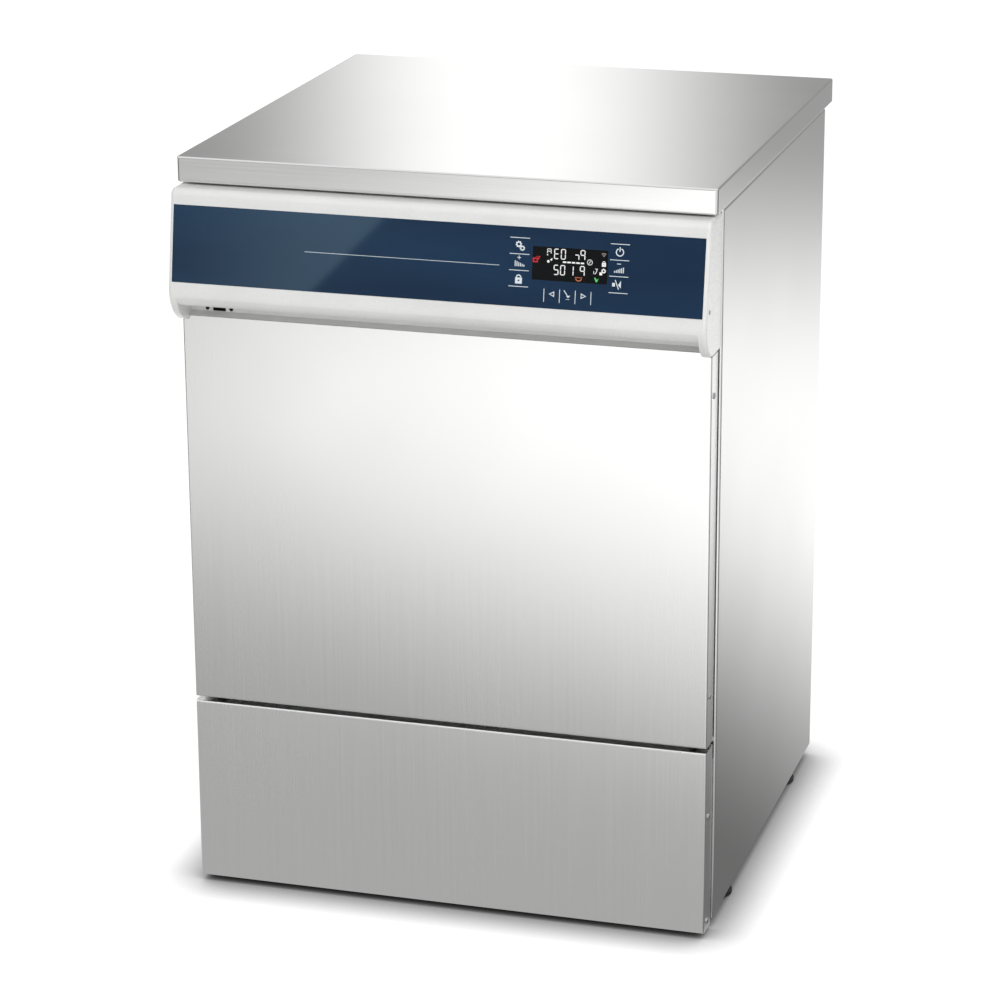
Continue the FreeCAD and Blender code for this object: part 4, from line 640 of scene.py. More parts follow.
def grown(name, tree, wanted, places=(), aims=()):
    """Runs a tree on points, each with its own aim. wanted holds the tree's inputs by name."""
    mesh = bpy.data.meshes.new(name + "_places")
    mesh.from_pydata(places, [], [])
    stored = mesh.attributes.new("aim", "FLOAT_VECTOR", "POINT")
    for i, aim in enumerate(aims):
        stored.data[i].vector = aim
    carrier = in_scene(name + "_carrier", mesh)
    modifier = carrier.modifiers.new("grow", "NODES")
    modifier.node_group = tree
    keys = {item.name: item.identifier for item in tree.interface.items_tree}
    for label, value in wanted.items():
        modifier[keys[label]] = value
    return made_real(carrier, name)


print("tree helpers ready")

# %% [markdown]
# Screws, set by Geometry Nodes
# One node tree sets every group of screws: it takes the points where they sit, puts the same screw
# on each, aims it along the direction stored with the point, and turns it a random amount round its
# own axis, because no fitter leaves all the crosses lined up. The seed is fixed, so the turns are
# the same at each run.

# %% The tree that sets screws
SCREW_SEED = 7


def setter_tree():
    """Geometry Nodes that put one part on every point, aimed along its own direction."""
    inputs = {"Points": "Geometry", "Screw": "Object", "Random Turn": "Float", "Finish": "Material"}
    tree, given = new_tree("set_screws", inputs)
    screw = add(tree, "GeometryNodeObjectInfo", {"Object": given["Screw"]})
    aim = add(tree, "GeometryNodeInputNamedAttribute", {"Name": "aim"}, {"data_type": "FLOAT_VECTOR"})
    facing = add(tree, "FunctionNodeAlignRotationToVector", {"Vector": aim.outputs[0]}, {"axis": "Z"})
    limits = {"Min": 0.0, 3: given["Random Turn"], "Seed": SCREW_SEED}
    turn = add(tree, "FunctionNodeRandomValue", limits, {"data_type": "FLOAT"})
    spin = add(tree, "ShaderNodeCombineXYZ", {2: turn.outputs[1]})
    both = {0: facing.outputs[0], 1: spin.outputs[0]}
    rotation = add(tree, "FunctionNodeRotateRotation", both, {"rotation_space": "LOCAL"})
    wanted = {
        "Points": given["Points"],
        "Instance": screw.outputs["Geometry"],
        "Rotation": rotation.outputs[0],
    }
    copies = add(tree, "GeometryNodeInstanceOnPoints", wanted)
    return end_tree(tree, copies.outputs[0], given["Finish"])


SETTER = setter_tree()
print("screw tree has", len(SETTER.nodes), "nodes")

# %% [markdown]
# The three groups of screws
# The door skin and the plinth are held by pan-head screws through their side folds, and the data
# port by two small ones. The head's radius, the length and the place are measured on the CAD screws,
# so that the dressed screws sit in the same holes.

# %% Dress the screws


def screw_solid(name, head, shank, rise, length):
    """A pan-head screw with a cross recess, its head's seat at zero and its head along +Z."""
    profile = [
        (0, -length),
        (shank * 0.7, -length),
        (shank, -length + shank * 0.5),
        (shank, 0),
        (head, 0),
        (head, rise * 0.45),
        (head * 0.93, rise * 0.72),
        (head * 0.75, rise * 0.9),
        (head * 0.45, rise),
        (0, rise),
    ]
    screw = new_piece(name, turned(profile, 28), turned_steel)
    recess = cross_recess(head * 0.3, head * 0.6, rise * 0.7, rise)
    cutter = new_piece(name + "_recess", recess, turned_steel)
    cut = screw.modifiers.new("recess", "BOOLEAN")
    cut.operation = "DIFFERENCE"
    cut.object = cutter
    cut.solver = "EXACT"
    solid = made_real(screw, name)
    bpy.data.objects.remove(cutter)
    return solid


def set_screws(name, screw, places, aims, body, skin):
    """Puts a copy of one screw on every place, aimed along its own direction. The model screw goes."""
    wanted = {"Screw": screw, "Random Turn": math.pi, "Finish": skin}
    piece = grown(name, SETTER, wanted, places, aims)
    bpy.data.objects.remove(screw)
    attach(piece, body)
    return piece


def dress_screws(node, axis, rise, body, skin):
    """Replaces a node's plain screws by turned ones with a recess."""
    boxes = islands(node)
    low, high = boxes[0]
    head = (high.z - low.z) / 2
    length = high[axis] - low[axis] - rise
    screw = screw_solid(node + "_one", head, head * 0.55, rise, length)
    places = []
    aims = []
    for low, high in boxes:
        side = 1 if axis == 0 and low.x > 0 else -1
        seat = (low + high) / 2
        outer = high[axis] if side > 0 else low[axis]
        seat[axis] = outer - side * rise
        aim = Vector((0, 0, 0))
        aim[axis] = side
        places.append(seat)
        aims.append(aim)
    piece = set_screws(node + "_dressed", screw, places, aims, body, skin)
    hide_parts(node)
    return piece


door_fixings = dress_screws("door_screws", 0, 1.4 * MM, "door", turned_steel)
plinth_fixings = dress_screws("plinth_screws", 0, 1.8 * MM, "cabinet", turned_steel)
port_fixings = dress_screws("port_screws", 1, 1.0 * MM, "door", blackened)
print("screw faces:", sum(len(p.data.polygons) for p in (door_fixings, plinth_fixings, port_fixings)))

# %% [markdown]
# One screw in each cheek
# The photograph shows a small screw on the outer side of the fascia's cheek. It is too small to
# matter to the construction, so it is added here: one on each side, with its shank in the wall.

# %% Cheek screws
CHEEK_X = 298.5
CHEEK_PLACE = (-308.0, 725.0)
cheek_screw = screw_solid("cheek_one", 2.4 * MM, 1.3 * MM, 0.8 * MM, 2.0 * MM)
cheek_places = [Vector((side * CHEEK_X, *CHEEK_PLACE)) * MM for side in (1, -1)]
cheek_aims = [Vector((side, 0, 0)) for side in (1, -1)]
set_screws("cheek_screws", cheek_screw, cheek_places, cheek_aims, "door", turned_steel)
print("cheek screws:", len(cheek_places))

# %% [markdown]
# Flat print on the film
# The key lines, signs and digits are printed or lit shapes with no depth worth the name. Each is
# drawn as a flat closed curve and given 0.06 mm of thickness, so that it is a real shape and not a
# picture. A filled 2D curve does this well: a loop inside another loop becomes a hole by itself.
# Shapes are given in millimetres on the slope: x across, s up from the lip.

# %% Shapes in the plane of the film
PRINT_DEPTH = 0.06


def line(x1, s1, x2, s2, width):
    """A straight bar with square ends."""
    start, end = Vector((x1, s1)), Vector((x2, s2))
    side = (end - start).normalized().orthogonal() * width / 2
    return [start + side, end + side, end - side, start - side]


def disc(x, s, radius, steps=28):
    """A filled circle."""
    angles = [2 * math.pi * i / steps for i in range(steps)]
    return [Vector((x + radius * math.cos(a), s + radius * math.sin(a))) for a in angles]


def arc_band(x, s, radius, width, start, end, steps=24):
    """A thick arc between two angles in degrees."""
    points = []
    for r, order in ((radius + width / 2, range(steps + 1)), (radius - width / 2, range(steps, -1, -1))):
        for i in order:
            angle = math.radians(start + (end - start) * i / steps)
            points.append(Vector((x + r * math.cos(angle), s + r * math.sin(angle))))
    return points


def ring(x, s, radius, width):
    """A full ring, as an outer loop and a hole."""
    return [disc(x, s, radius + width / 2), disc(x, s, radius - width / 2)]


def polygon(*points):
    """A loop through points given as pairs."""
    return [Vector(point) for point in points]


def rect(x1, s1, x2, s2):
    """A rectangle."""
    return polygon((x1, s1), (x2, s1), (x2, s2), (x1, s2))


def print_piece(name, layers, material):
    """One piece of flat print. Each layer is a list of loops; loops within a layer cut holes."""
    solid = bmesh.new()
    for loops in layers:
        curve = bpy.data.curves.new(name, "CURVE")
        curve.dimensions = "2D"
        curve.fill_mode = "BOTH"
        curve.extrude = PRINT_DEPTH * MM / 2
        for loop in loops:
            spline = curve.splines.new("POLY")
            spline.points.add(len(loop) - 1)
            for point, place in zip(spline.points, loop):
                point.co = (place.x * MM, place.y * MM, 0, 1)
            spline.use_cyclic_u = True
        flat = made_real(in_scene(name, curve), name)
        solid.from_mesh(flat.data)
        bpy.data.meshes.remove(flat.data)
    bmesh.ops.remove_doubles(solid, verts=solid.verts, dist=0.001 * MM)
    bmesh.ops.recalc_face_normals(solid, faces=solid.faces)
    foot = on_film(0, 0) + film_normal * (PRINT_DEPTH * MM / 2)
    axes = Matrix((Vector((1, 0, 0)), film_up, film_normal)).transposed().to_4x4()
    bmesh.ops.transform(solid, matrix=Matrix.Translation(foot) @ axes, verts=solid.verts)
    piece = new_piece(name, solid, material)
    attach(piece, "door")
    return piece


print("print is", PRINT_DEPTH, "mm thick")

# %% [markdown]
# Ink and light
# The key signs are white screen print: a plain matt white. The display is lit from inside, so its
# digits give light of their own. Their strength stays at 1, because that renders as full white and
# more would only bleed colour.

# %% Ink and light


def ink(name, color):
    """Screen-printed ink: one colour, matt, with the faint unevenness of a thin layer."""
    material, tree = new_material(name)
    texture = noise(tree, 0.5, 3.0)
    look = {
        "Base Color": rgb(color),
        "Roughness": ranged(tree, texture, 0.45, 0.55),
        "IOR": 1.5,
        "Normal": bumped(tree, texture, 0.003, 0.3),
    }
    return principled(material, look)


def lit(name, color):
    """The glow of a lit segment, a little uneven."""
    material, tree = new_material(name)
    share = ranged(tree, noise(tree, 3.0, 1.0), 0.0, 0.12)
    return finish(material, emission(tree, blended(tree, share, rgb(color), rgb("#202020")), 1.0))


white_ink = ink("screen_print_white", "#DCE4EA")
lit_white = lit("lit_segment_white", "#FFFFFF")
lit_red = lit("lit_sign_red", "#CB3A40")
lit_orange = lit("lit_sign_orange", "#D8805E")
lit_green = lit("lit_sign_green", "#62DB7C")
lit_grey = lit("lit_sign_grey", "#A89C98")
print("inks and lights:", 6)

# %% [markdown]
# The keys
# The keys are touch fields under the film: they do not travel, and only thin lines show where one
# ends. Left of the display are the programme, plus and lock keys, right of it the power, minus and
# sound keys, and below it a row of three.

# %% Key lines and signs
HALF_LINE = 0.35
LEFT_LINES = (80.0, 63.0, 45.8, 28.8)
RIGHT_LINES = (80.0, 63.3, 46.2, 29.0)
FOOT_LINES = (123.0, 140.0, 157.0, 174.0)


def gear(x, s, radius, teeth):
    """A toothed ring: tooth tips and gaps by turns round the outside, and a hole."""
    outer = []
    for i in range(teeth * 4):
        reach = radius if i % 4 < 2 else radius * 0.78
        angle = 2 * math.pi * (i + 0.5) / (teeth * 4)
        outer.append(Vector((x + reach * math.cos(angle), s + reach * math.sin(angle))))
    return [outer, disc(x, s, radius * 0.42, 16)]


def padlock(x, s, width, height):
    """Body with a keyhole, and a shackle above it."""
    body = [rect(x - width / 2, s - height / 2, x + width / 2, s + height * 0.12)]
    body.append(disc(x, s - height * 0.18, width * 0.13, 12))
    shackle = [arc_band(x, s + height * 0.14, width * 0.32, width * 0.17, 0, 180)]
    return [body, shackle]


def bars(x, s, count, pitch, width, low, high):
    """A row of bars whose height goes from low to high."""
    loops = []
    for i in range(count):
        left = x + i * pitch
        height = low + (high - low) * i / (count - 1)
        loops.append(rect(left, s, left + width, s + height))
    return loops


key_art = [[rect(84.0, s - HALF_LINE, 105.5, s + HALF_LINE)] for s in LEFT_LINES]
key_art += [[rect(192.7, s - HALF_LINE, 213.3, s + HALF_LINE)] for s in RIGHT_LINES]
key_art += [[rect(x - HALF_LINE, 14.5, x + HALF_LINE, 28.4)] for x in FOOT_LINES]
key_art += [[rect(-143.4, 49.65, 73.2, 50.15)]]
key_art += [gear(93.6, 73.2, 3.6, 8), gear(97.6, 69.2, 3.0, 8)]
key_art += [[rect(92.6, 58.9, 96.6, 59.6)], [rect(94.25, 57.3, 94.95, 58.85)]]
key_art += [[rect(94.25, 59.65, 94.95, 61.2)]]
key_art += [bars(90.0, 50.0, 6, 1.9, 1.0, 6.0, 2.0)]
key_art += padlock(94.8, 37.0, 7.4, 10.4)
key_art += [[arc_band(203.0, 71.6, 3.9, 1.1, 115, 425)], [line(203.0, 72.2, 203.0, 77.0, 1.1)]]
key_art += [[rect(200.6, 59.0, 204.6, 59.8)]]
key_art += [bars(197.6, 50.0, 6, 1.9, 1.0, 2.0, 6.0)]
print("key layers:", len(key_art))

# %% Sound key and the row below the display
SPEAKER = polygon((196.2, 35.6), (199.2, 35.6), (199.2, 39.4), (196.2, 39.4))
HORN = polygon((202.6, 37.4), (205.6, 34.0), (205.6, 42.2))
key_art += [[SPEAKER], [HORN], [line(199.3, 42.6, 203.2, 32.8, 0.9)]]


def arrow(x, s, reach, width):
    """A hollow triangle that points along +x or -x."""
    outer = polygon((x + reach, s), (x - reach, s + abs(reach)), (x - reach, s - abs(reach)))
    shrink = 1 - width / abs(reach)
    inner = polygon(
        (x + reach * shrink * 0.72, s),
        (x - reach * 0.74, s + abs(reach) * shrink * 0.68),
        (x - reach * 0.74, s - abs(reach) * shrink * 0.68),
    )
    return [outer, inner]


key_art += [arrow(131.2, 23.2, -3.0, 0.8), arrow(166.0, 23.2, 3.0, 0.8)]
key_art += [[line(144.6, 28.0, 148.6, 22.4, 0.9)], [polygon((147.2, 22.2), (151.8, 22.8), (149.4, 20.2))]]
key_art += [[rect(147.0, 18.4, 151.0, 18.9)]]
key_print = print_piece("key_print", key_art, white_ink)
print("key print faces:", len(key_print.data.polygons))

# %% [markdown]
# The display
# Digits are made of seven bars, each lit or dark. A letter for each bar, a to g clockwise from the
# top and g in the middle, spells a digit, and one function draws the lit ones. Some digits in the
# photograph are seen mirrored, and they are drawn as they are seen there.

# %% Seven-segment digits
BAR_GAP = 0.12
SEGMENTS = {
    "a": ((-1, 1), (1, 1)),
    "b": ((1, 1), (1, 0)),
    "c": ((1, 0), (1, -1)),
    "d": ((-1, -1), (1, -1)),
    "e": ((-1, 0), (-1, -1)),
    "f": ((-1, 1), (-1, 0)),
    "g": ((-1, 0), (1, 0)),
}


def digit(x, s, height, lit_bars, width=5.4, stroke=1.0):
    """Lit bars of one digit, each with pointed ends and a gap to its neighbours."""
    bars_lit = []
    for bar in lit_bars:
        ends = []
        for across, up in SEGMENTS[bar]:
            ends.append(Vector((x + across * (width - stroke) / 2, s + up * (height - stroke) / 2)))
        way = (ends[1] - ends[0]).normalized()
        side = Vector((-way.y, way.x)) * stroke / 2
        gap = way * stroke * BAR_GAP
        tip = way * stroke / 2
        start = ends[0] + gap
        end = ends[1] - gap
        upper = [start + tip + side, end - tip + side]
        lower = [end - tip - side, start + tip - side]
        bars_lit.append([[start, *upper, end, *lower]])
    return bars_lit


DIGITS = (
    (135.0, 65.6, 11.0, "adefg"),
    (142.3, 65.6, 11.0, "abcdef"),
    (157.0, 65.8, 11.0, "cg"),
    (163.4, 65.9, 11.0, "abcfg"),
    (135.1, 48.9, 10.8, "acdfg"),
    (142.2, 48.9, 10.8, "abcdef"),
    (151.4, 48.9, 10.8, "bc"),
    (163.4, 49.3, 10.8, "abcfg"),
)
display_art = [bar for place in DIGITS for bar in digit(*place)]
display_art += [[rect(142.1 + i * 4.8, 56.7, 145.9 + i * 4.8, 58.3)] for i in range(5)]
print("lit bars:", len(display_art))

# %% Display signs
display_art += [ring(171.2, 59.0, 2.7, 0.6), [line(170.2, 57.7, 172.2, 60.3, 0.6)]]
display_art += padlock(186.4, 58.6, 4.3, 6.2)
display_art += [gear(186.4, 50.9, 2.6, 8), [rect(182.0, 46.4, 184.9, 49.4)]]
display_art += [[line(177.2, 52.5, 180.2, 52.5, 0.6)], [line(179.2, 52.1, 178.9, 49.4, 0.7)]]
display_art += [[line(178.8, 49.2, 177.0, 47.0, 0.7)], [line(175.8, 50.2, 175.8, 47.4, 0.6)]]
display_art += [[disc(126.3, 57.2, 1.4)], [polygon((127.9, 58.9), (130.8, 61.2), (130.2, 58.0))]]
display_art += digit(127.0, 67.9, 5.6, "abcefg", 4.8, 0.7)
display_art += [[disc(125.2, 64.1, 0.7, 12)]]
lit_display = print_piece("display_digits", display_art, lit_white)

cup = [
    [rect(109.5, 55.4, 115.1, 60.2), rect(110.8, 56.8, 113.8, 58.9)],
    [line(115.2, 58.6, 116.9, 62.3, 1.3)],
    [line(112.4, 61.0, 115.2, 61.9, 0.6)],
]
basin = [[arc_band(159.8, 42.1, 3.3, 0.9, 195, 345, 14)], [line(155.8, 42.3, 163.8, 42.3, 0.6)]]
tick_points = (176.6, 43.2), (177.8, 43.6), (179.2, 41.2), (181.6, 42.8), (179.6, 38.8), (178.6, 38.8)
fan = [[arc_band(186.0, 65.0, r, 0.7, 54, 126, 10)] for r in (1.2, 2.7, 4.2)]
signs = {
    "cup": (cup, lit_red),
    "basin": (basin, lit_orange),
    "tick": ([[polygon(*tick_points)]], lit_green),
    "radio": (fan, lit_grey),
}
for sign, (art, light) in signs.items():
    print_piece("display_" + sign + "_sign", art, light)
print("display faces:", len(lit_display.data.polygons))

# %% [markdown]
# Counterbalance springs
# The door's weight is carried by two long tension springs behind the side panels. A tension spring is
# close-wound wire with a hook at each end. Geometry Nodes have a spiral curve: its turns, radius and
# height are inputs, and a round profile swept along it is the wire. At each end one short line leads
# in to the spring's axis, and a second one runs along the axis as the straight end of the hook.

# %% Spirals and wires


def spiral(tree, resolution, turns, radius, height):
    """A curve that winds round Z at one radius."""
    inputs = {
        "Resolution": resolution,
        "Rotations": turns,
        "Start Radius": radius,
        "End Radius": radius,
        "Height": height,
    }
    return add(tree, "GeometryNodeCurveSpiral", inputs).outputs[0]


def swept(tree, curve, corners, radius):
    """A profile with this many corners, swept along a curve and closed at its ends."""
    circle = {"Resolution": corners, "Radius": radius}
    profile = add(tree, "GeometryNodeCurvePrimitiveCircle", circle).outputs[0]
    inputs = {"Curve": curve, "Profile Curve": profile, "Fill Caps": True}
    return add(tree, "GeometryNodeCurveToMesh", inputs).outputs[0]


print("spiral and sweep ready")

# %% The spring tree


def spring_tree():
    """Geometry Nodes for a close-wound tension spring along Z with a straight hook at each end."""
    lengths = ("Turns", "Radius", "Wire", "Coil Start", "Coil End", "Bottom", "Top")
    inputs = {"Geometry": "Geometry", **dict.fromkeys(lengths, "Float"), "Finish": "Material"}
    tree, value = new_tree("tension_spring", inputs)
    height = math_node(tree, "SUBTRACT", value["Coil End"], value["Coil Start"])
    coil = spiral(tree, 14, value["Turns"], value["Radius"], height)
    foot = add(tree, "ShaderNodeCombineXYZ", {2: value["Coil Start"]})
    lifted = add(tree, "GeometryNodeTransform", {0: coil, "Translation": foot.outputs[0]})
    curves = [lifted.outputs[0]]
    for level, tip in (("Coil Start", "Bottom"), ("Coil End", "Top")):
        inner = add(tree, "ShaderNodeCombineXYZ", {2: value[level]}).outputs[0]
        outer = add(tree, "ShaderNodeCombineXYZ", {0: value["Radius"], 2: value[level]}).outputs[0]
        end = add(tree, "ShaderNodeCombineXYZ", {2: value[tip]}).outputs[0]
        arm = add(tree, "GeometryNodeCurvePrimitiveLine", {0: outer, 1: inner})
        stem = add(tree, "GeometryNodeCurvePrimitiveLine", {0: inner, 1: end})
        curves += [arm.outputs[0], stem.outputs[0]]
    joined = add(tree, "GeometryNodeJoinGeometry")
    for curve in curves:
        tree.links.new(curve, joined.inputs[0])
    wire = swept(tree, joined.outputs[0], 8, value["Wire"])
    smooth = add(tree, "GeometryNodeSetShadeSmooth", {0: wire})
    return end_tree(tree, smooth.outputs[0], value["Finish"])


SPRING = spring_tree()
print("spring tree has", len(SPRING.nodes), "nodes")

# %% Wind the two springs
WIRE_RADIUS = 1.1
COIL_PITCH = 2.2 * WIRE_RADIUS
COIL_FOOT = 34.0
HOOK_LENGTH = 24.0


def wind_spring(side):
    """Replaces one plain spring by a wound one."""
    node = "door_spring_" + side
    low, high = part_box(node)
    outer = (high.x - low.x) / 2
    start = low.z + COIL_FOOT * MM
    end = high.z - HOOK_LENGTH * MM
    wanted = {
        "Turns": float(round((end - start) / (COIL_PITCH * MM))),
        "Radius": outer - WIRE_RADIUS * MM,
        "Wire": WIRE_RADIUS * MM,
        "Coil Start": start,
        "Coil End": end,
        "Bottom": low.z,
        "Top": high.z,
        "Finish": spring_wire,
    }
    piece = grown(node + "_wound", SPRING, wanted)
    centre = (low + high) / 2
    piece.data.transform(Matrix.Translation((centre.x, centre.y, 0)))
    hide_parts(node)
    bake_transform(piece)
    return piece


wound = [wind_spring(side) for side in ("right", "left")]
print("spring faces:", sum(len(p.data.polygons) for p in wound))

# %% [markdown]
# Hose threads
# The three water valves end in a male hose thread. A thread is one ridge that climbs round a
# cylinder, so it is a spiral again, this time with a small four-cornered profile. It is partly sunk
# in the cylinder, so that a wedge stands out.

# %% The thread tree
THREAD_PITCH = 1.8
THREAD_RIDGE = 0.6
THREAD_SPAN = (283.5, 296.5)
VALVE_X = (-216.0, -168.0, -120.0)
VALVE_Z = 110.0
VALVE_RADIUS = 12.9


def thread_tree():
    """Geometry Nodes that wind one ridge round Y and put it on every point."""
    lengths = ("Turns", "Radius", "Length", "Ridge")
    inputs = {"Points": "Geometry", **dict.fromkeys(lengths, "Float"), "Finish": "Material"}
    tree, value = new_tree("hose_thread", inputs)
    coil = spiral(tree, 36, value["Turns"], value["Radius"], value["Length"])
    laid = add(tree, "GeometryNodeTransform", {0: coil, "Rotation": (-math.pi / 2, 0, 0)})
    ridge = swept(tree, laid.outputs[0], 4, value["Ridge"])
    wanted = {"Points": value["Points"], "Instance": ridge}
    copies = add(tree, "GeometryNodeInstanceOnPoints", wanted)
    return end_tree(tree, copies.outputs[0], value["Finish"])


THREAD = thread_tree()
print("thread tree has", len(THREAD.nodes), "nodes")

# %% Cut the threads
thread_start, thread_end = THREAD_SPAN
thread_slot = SLOT_OF["inlet_valves"]
mouths = [Vector((x, thread_start, VALVE_Z)) * MM for x in VALVE_X]
thread_inputs = {
    "Turns": (thread_end - thread_start) / THREAD_PITCH,
    "Radius": VALVE_RADIUS * MM,
    "Length": (thread_end - thread_start) * MM,
    "Ridge": THREAD_RIDGE * MM,
    "Finish": SLOT_FINISH[thread_slot],
}
threads = grown("inlet_valve_threads", THREAD, thread_inputs, mouths)
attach(threads, "cabinet")
print("thread faces:", len(threads.data.polygons))

# %% [markdown]
# The camera
# The photograph is taken from above and from the machine's right, with a fairly long lens. The place
# and angles were solved from the corners of the casing, so a corner falls close to where it is in
# the photograph. The shift stays at zero.

# %% The camera
LENS = 124.9
CAMERA_PLACE = Vector((1.081, -3.706, 1.663))
CAMERA_TURN = (16.56, 18.16, -0.30)


def make_camera():
    """The scene's camera, from its place, azimuth, elevation and roll in degrees."""
    azimuth, elevation, roll = [math.radians(angle) for angle in CAMERA_TURN]
    data = bpy.data.cameras.new("camera")
    data.lens = LENS
    data.sensor_width = 36.0
    camera = in_scene("camera", data)
    level = math.cos(elevation)
    ahead = Vector((-math.sin(azimuth) * level, math.cos(azimuth) * level, -math.sin(elevation)))
    aimed = ahead.to_track_quat("-Z", "Y").to_matrix() @ Matrix.Rotation(roll, 3, "Z")
    camera.matrix_world = Matrix.Translation(CAMERA_PLACE) @ aimed.to_4x4()
    bpy.context.scene.camera = camera
    return camera


camera = make_camera()
print("camera lens", camera.data.lens, "mm")

# %% [markdown]
# The floor
# Satin metal has no colour of its own: it shows a soft image of the room. The door, seen from
# above, shows the floor in front of it, and the side panel the floor beside and behind it. In the
# photograph the door is bright where it shows floor far away and grey where it shows floor close by,
# so in reflections the floor glows with painted light two metres out and painted shade that falls to
# grey near the machine.
# Seen by the camera the floor is white: a share of even light lifts it, so that only a soft rest of
# the machine's shadow stays. Right under the plinth hardly any light gets in; ambient occlusion,
# which measures how much of the sky a point can see, darkens the floor's colour there into a narrow
# painted shadow.

# %% Floor material
NEAR_PAINTED_SHADE = 0.44
FAR_PAINTED_LIGHT = 1.66
CONTACT = 0.06
CONTACT_DEPTH = 1.8
LIFT = 0.8
LIFT_LIGHT = 1.2


def floor_painted_light_zones(tree):
    """The painted light and shade the floor glows with in metal: one pattern ahead of the machine, one
    behind it.
    """
    axes = axes_of(tree)
    x, y = axes[0], axes[1]
    slanted = math_node(tree, "SUBTRACT", y, math_node(tree, "MULTIPLY", x, 0.5))
    # Painted shade near the front of the machine, rising to painted light two metres out.
    sweep = smooth_step(tree, slanted, -0.7, -2.0, NEAR_PAINTED_SHADE, FAR_PAINTED_LIGHT)
    sideways = math_node(tree, "ADD", x, math_node(tree, "MULTIPLY", y, 0.3))
    leftward = smooth_step(tree, sideways, -2.4, -1.55, 0.36, 1.0)
    rightward = smooth_step(tree, x, 0.5, 1.6, 1.0, 0.55)
    ahead = math_node(tree, "MULTIPLY", sweep, math_node(tree, "MULTIPLY", leftward, rightward))
    behind_far = smooth_step(tree, y, 1.7, 3.9, 1.0, 0.3)
    # Painted shade on the floor close beside and behind the machine.
    behind_painted_shade_near = smooth_step(tree, math_node(tree, "SUBTRACT", y, x), -0.42, 0.8, 0.17, 1.28)
    behind = math_node(tree, "MULTIPLY", behind_far, behind_painted_shade_near)
    aside = smooth_step(tree, math_node(tree, "ABSOLUTE", x), 0.28, 0.32, 0.0, 0.28)
    rear = smooth_step(tree, math_node(tree, "ADD", y, aside), -0.1, 0.0, 0.0, 1.0)
    return between(tree, rear, ahead, behind)


def floor_material():
    """Pale painted floor: white to the camera with a painted contact shadow, painted light and shade for
    metal.
    """
    material, tree = new_material("painted_floor")
    pale = toned(tree, noise(tree, 900.0, 1.0), "#EDEDEC", "#F1F1F0")
    surface = add(tree, "ShaderNodeBsdfDiffuse", {"Color": pale}).outputs[0]
    white = rgb("#FFFFFF")
    lifted = mixed(tree, LIFT, surface, emission(tree, white, LIFT_LIGHT))
    # Ambient occlusion darkens the floor's colour near the machine's base: a painted contact shadow.
    corner = add(tree, "ShaderNodeAmbientOcclusion", {"Distance": CONTACT}, {"samples": 16})
    open_sky = math_node(tree, "POWER", corner.outputs["AO"], CONTACT_DEPTH)
    seen = mixed(tree, open_sky, emission(tree, white, 0.0), lifted)
    path = add(tree, "ShaderNodeLightPath").outputs
    by_camera = mixed(tree, path["Is Camera Ray"], surface, seen)
    # Reflections see the floor as a glow of painted light and shade, not as a lit surface.
    painted_reflection = emission(tree, white, floor_painted_light_zones(tree))
    return finish(material, mixed(tree, path["Is Glossy Ray"], by_camera, painted_reflection))


print("floor is from", NEAR_PAINTED_SHADE, "to", FAR_PAINTED_LIGHT, "bright in the metal")

# %% Lay the floor
FLOOR_HALF = 14.0
floor_mesh = bmesh.new()
corners = [(-FLOOR_HALF, -FLOOR_HALF), (FLOOR_HALF, -FLOOR_HALF)]
corners += [(FLOOR_HALF, FLOOR_HALF), (-FLOOR_HALF, FLOOR_HALF)]
floor_mesh.faces.new([floor_mesh.verts.new((x, y, 0)) for x, y in corners])
floor = new_piece("floor", floor_mesh, floor_material())
print("floor is", 2 * FLOOR_HALF, "m wide")

# %% [markdown]
# A white card and a black flag
# The control film is glossy and leans back a little, so it shows what stands level with it in front.
# The photograph has a slanting edge across the film: lighter on the left, deep blue on the right. A
# photographer gets that with a white card beside a black flag. Both stand behind the camera, and
# they are seen only in reflections.

# %% Card and flag
CARD_Y = -6.0
CARD_EDGE = ((-1.909, 1.272), (-2.101, 1.057))


def card(name, corners, color, level, level_left):
    """A flat card across Y that only reflections see, with a level that changes to its left."""
    material, tree = new_material(name)
    share = ranged(tree, noise(tree, 30.0), 0.0, 0.1)
    tone = blended(tree, share, rgb(color), rgb("#808080"))
    strength = smooth_step(tree, axes_of(tree)[0], -2.6, -2.0, level_left, level)
    finish(material, emission(tree, tone, strength))
    sheet = bmesh.new()
    sheet.faces.new([sheet.verts.new((x, CARD_Y, z)) for x, z in corners])
    piece = new_piece(name, sheet, material)
    piece.visible_camera = False
    piece.visible_diffuse = False
    piece.visible_shadow = False


def edge_at(z):
    """Where the slanting edge between card and flag lies at a height."""
    (top_x, top_z), (low_x, low_z) = CARD_EDGE
    return low_x + (top_x - low_x) * (z - low_z) / (top_z - low_z)


CARD_LOW, CARD_HIGH = 0.75, 1.75
CARD_LEFT, FLAG_RIGHT = -3.4, 0.2
edge_low = (edge_at(CARD_LOW), CARD_LOW)
edge_high = (edge_at(CARD_HIGH), CARD_HIGH)
card_corners = [(CARD_LEFT, CARD_LOW), edge_low, edge_high, (CARD_LEFT, CARD_HIGH)]
flag_corners = [edge_low, (FLAG_RIGHT, CARD_LOW), (FLAG_RIGHT, CARD_HIGH), edge_high]
card("white_card", card_corners, "#C6EEFF", 1.4, 0.15)
card("black_flag", flag_corners, "#050505", 1.0, 1.0)
print("card and flag stand at y", CARD_Y)

# %% [markdown]
# The world
# The worktop is seen at a low angle, so it shows what stands behind the machine. In the photograph a
# soft white band crosses it between two greys: the light of a tall softbox. The world carries that
# band, as a bright patch in one direction. The camera itself sees plain white.

# %% World light
BAND_CENTRE = -16.4
BAND_HALF = 5.2
BAND_LIGHT = 1.28
FRONT_LIGHT = 0.75
BACK_LIGHT = 0.33
SOFT_LIGHT = 0.55


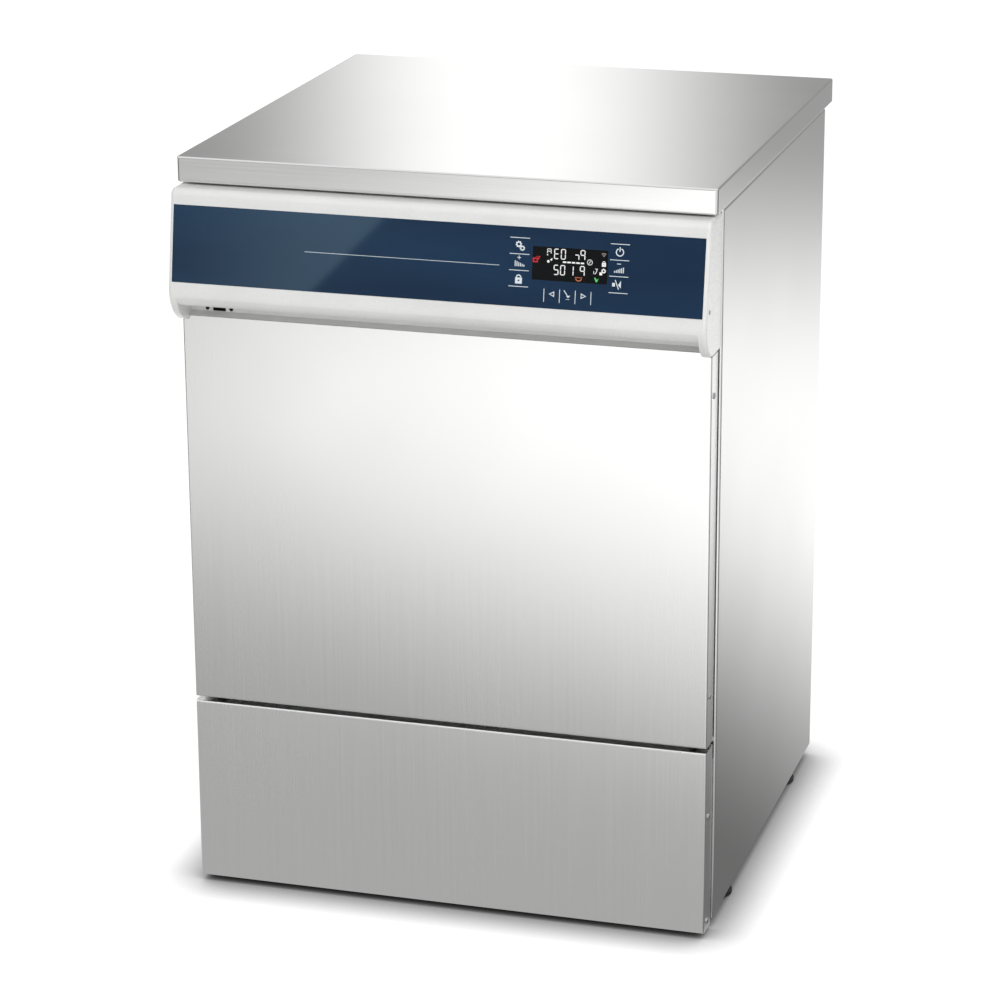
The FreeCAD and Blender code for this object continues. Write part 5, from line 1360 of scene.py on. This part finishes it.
def make_world():
    """White to the camera, soft studio light to everything else, with a bright patch behind."""
    world = bpy.data.worlds.new("studio")
    world.use_nodes = True
    bpy.context.scene.world = world
    tree = world.node_tree
    tree.nodes.clear()
    way = axes_of(tree, "Generated")
    angle = math_node(tree, "ARCTAN2", way[0], way[1])
    offset = math_node(tree, "SUBTRACT", angle, math.radians(BAND_CENTRE))
    away = math_node(tree, "ABSOLUTE", offset)
    band = smooth_step(tree, away, math.radians(BAND_HALF), math.radians(0.5), 0.0, 1.0)
    ahead = smooth_step(tree, way[1], -0.2, 0.2, 0.0, 1.0)
    patch = math_node(tree, "MULTIPLY", band, ahead)
    steep = smooth_step(tree, way[2], 0.28, 0.55, 0.0, 1.0)
    base = between(tree, steep, between(tree, ahead, FRONT_LIGHT, BACK_LIGHT), 1.0)
    mirrored = between(tree, patch, base, BAND_LIGHT)
    path = add(tree, "ShaderNodeLightPath").outputs
    around = between(tree, path["Is Glossy Ray"], SOFT_LIGHT, mirrored)
    strength = between(tree, path["Is Camera Ray"], around, 1.0)
    through = between(tree, path["Is Transmission Ray"], strength, 1.0)
    sky = add(tree, "ShaderNodeBackground", {"Color": rgb("#FFFFFF"), "Strength": through})
    add(tree, "ShaderNodeOutputWorld", {0: sky.outputs[0]})
    return world


world = make_world()
print("made the world", world.name)

# %% [markdown]
# The lamps
# Three soft lamps give the white parts their shape: a main one from above and in front, a weaker
# one from the right, and a low one that lights the lip from below. They are hidden from
# reflections, because the metal already shows the floor and the world.

# %% Lamps


def soft_lamp(name, place, aim, size, power):
    """A square soft light that points at a place."""
    data = bpy.data.lights.new(name, "AREA")
    data.shape = "SQUARE"
    data.size = size
    data.energy = power
    lamp = in_scene(name, data)
    turn = (Vector(aim) - Vector(place)).to_track_quat("-Z", "Y")
    lamp.matrix_world = Matrix.Translation(place) @ turn.to_matrix().to_4x4()
    lamp.visible_glossy = False
    lamp.visible_camera = False
    return lamp


lamps = [
    soft_lamp("main_lamp", (0.1, -2.4, 3.2), (0, 0, 0.5), 2.2, 36),
    soft_lamp("low_lamp", (0.5, -2.6, 0.35), (0, 0, 0.7), 1.0, 6),
    soft_lamp("side_lamp", (2.6, -0.8, 2.2), (0, 0, 0.5), 1.8, 24),
]
print("lamps:", len(lamps))

# %% [markdown]
# View
# The Standard view shows a colour as it is written.

# %% Finish
bpy.context.scene.view_settings.view_transform = "Standard"
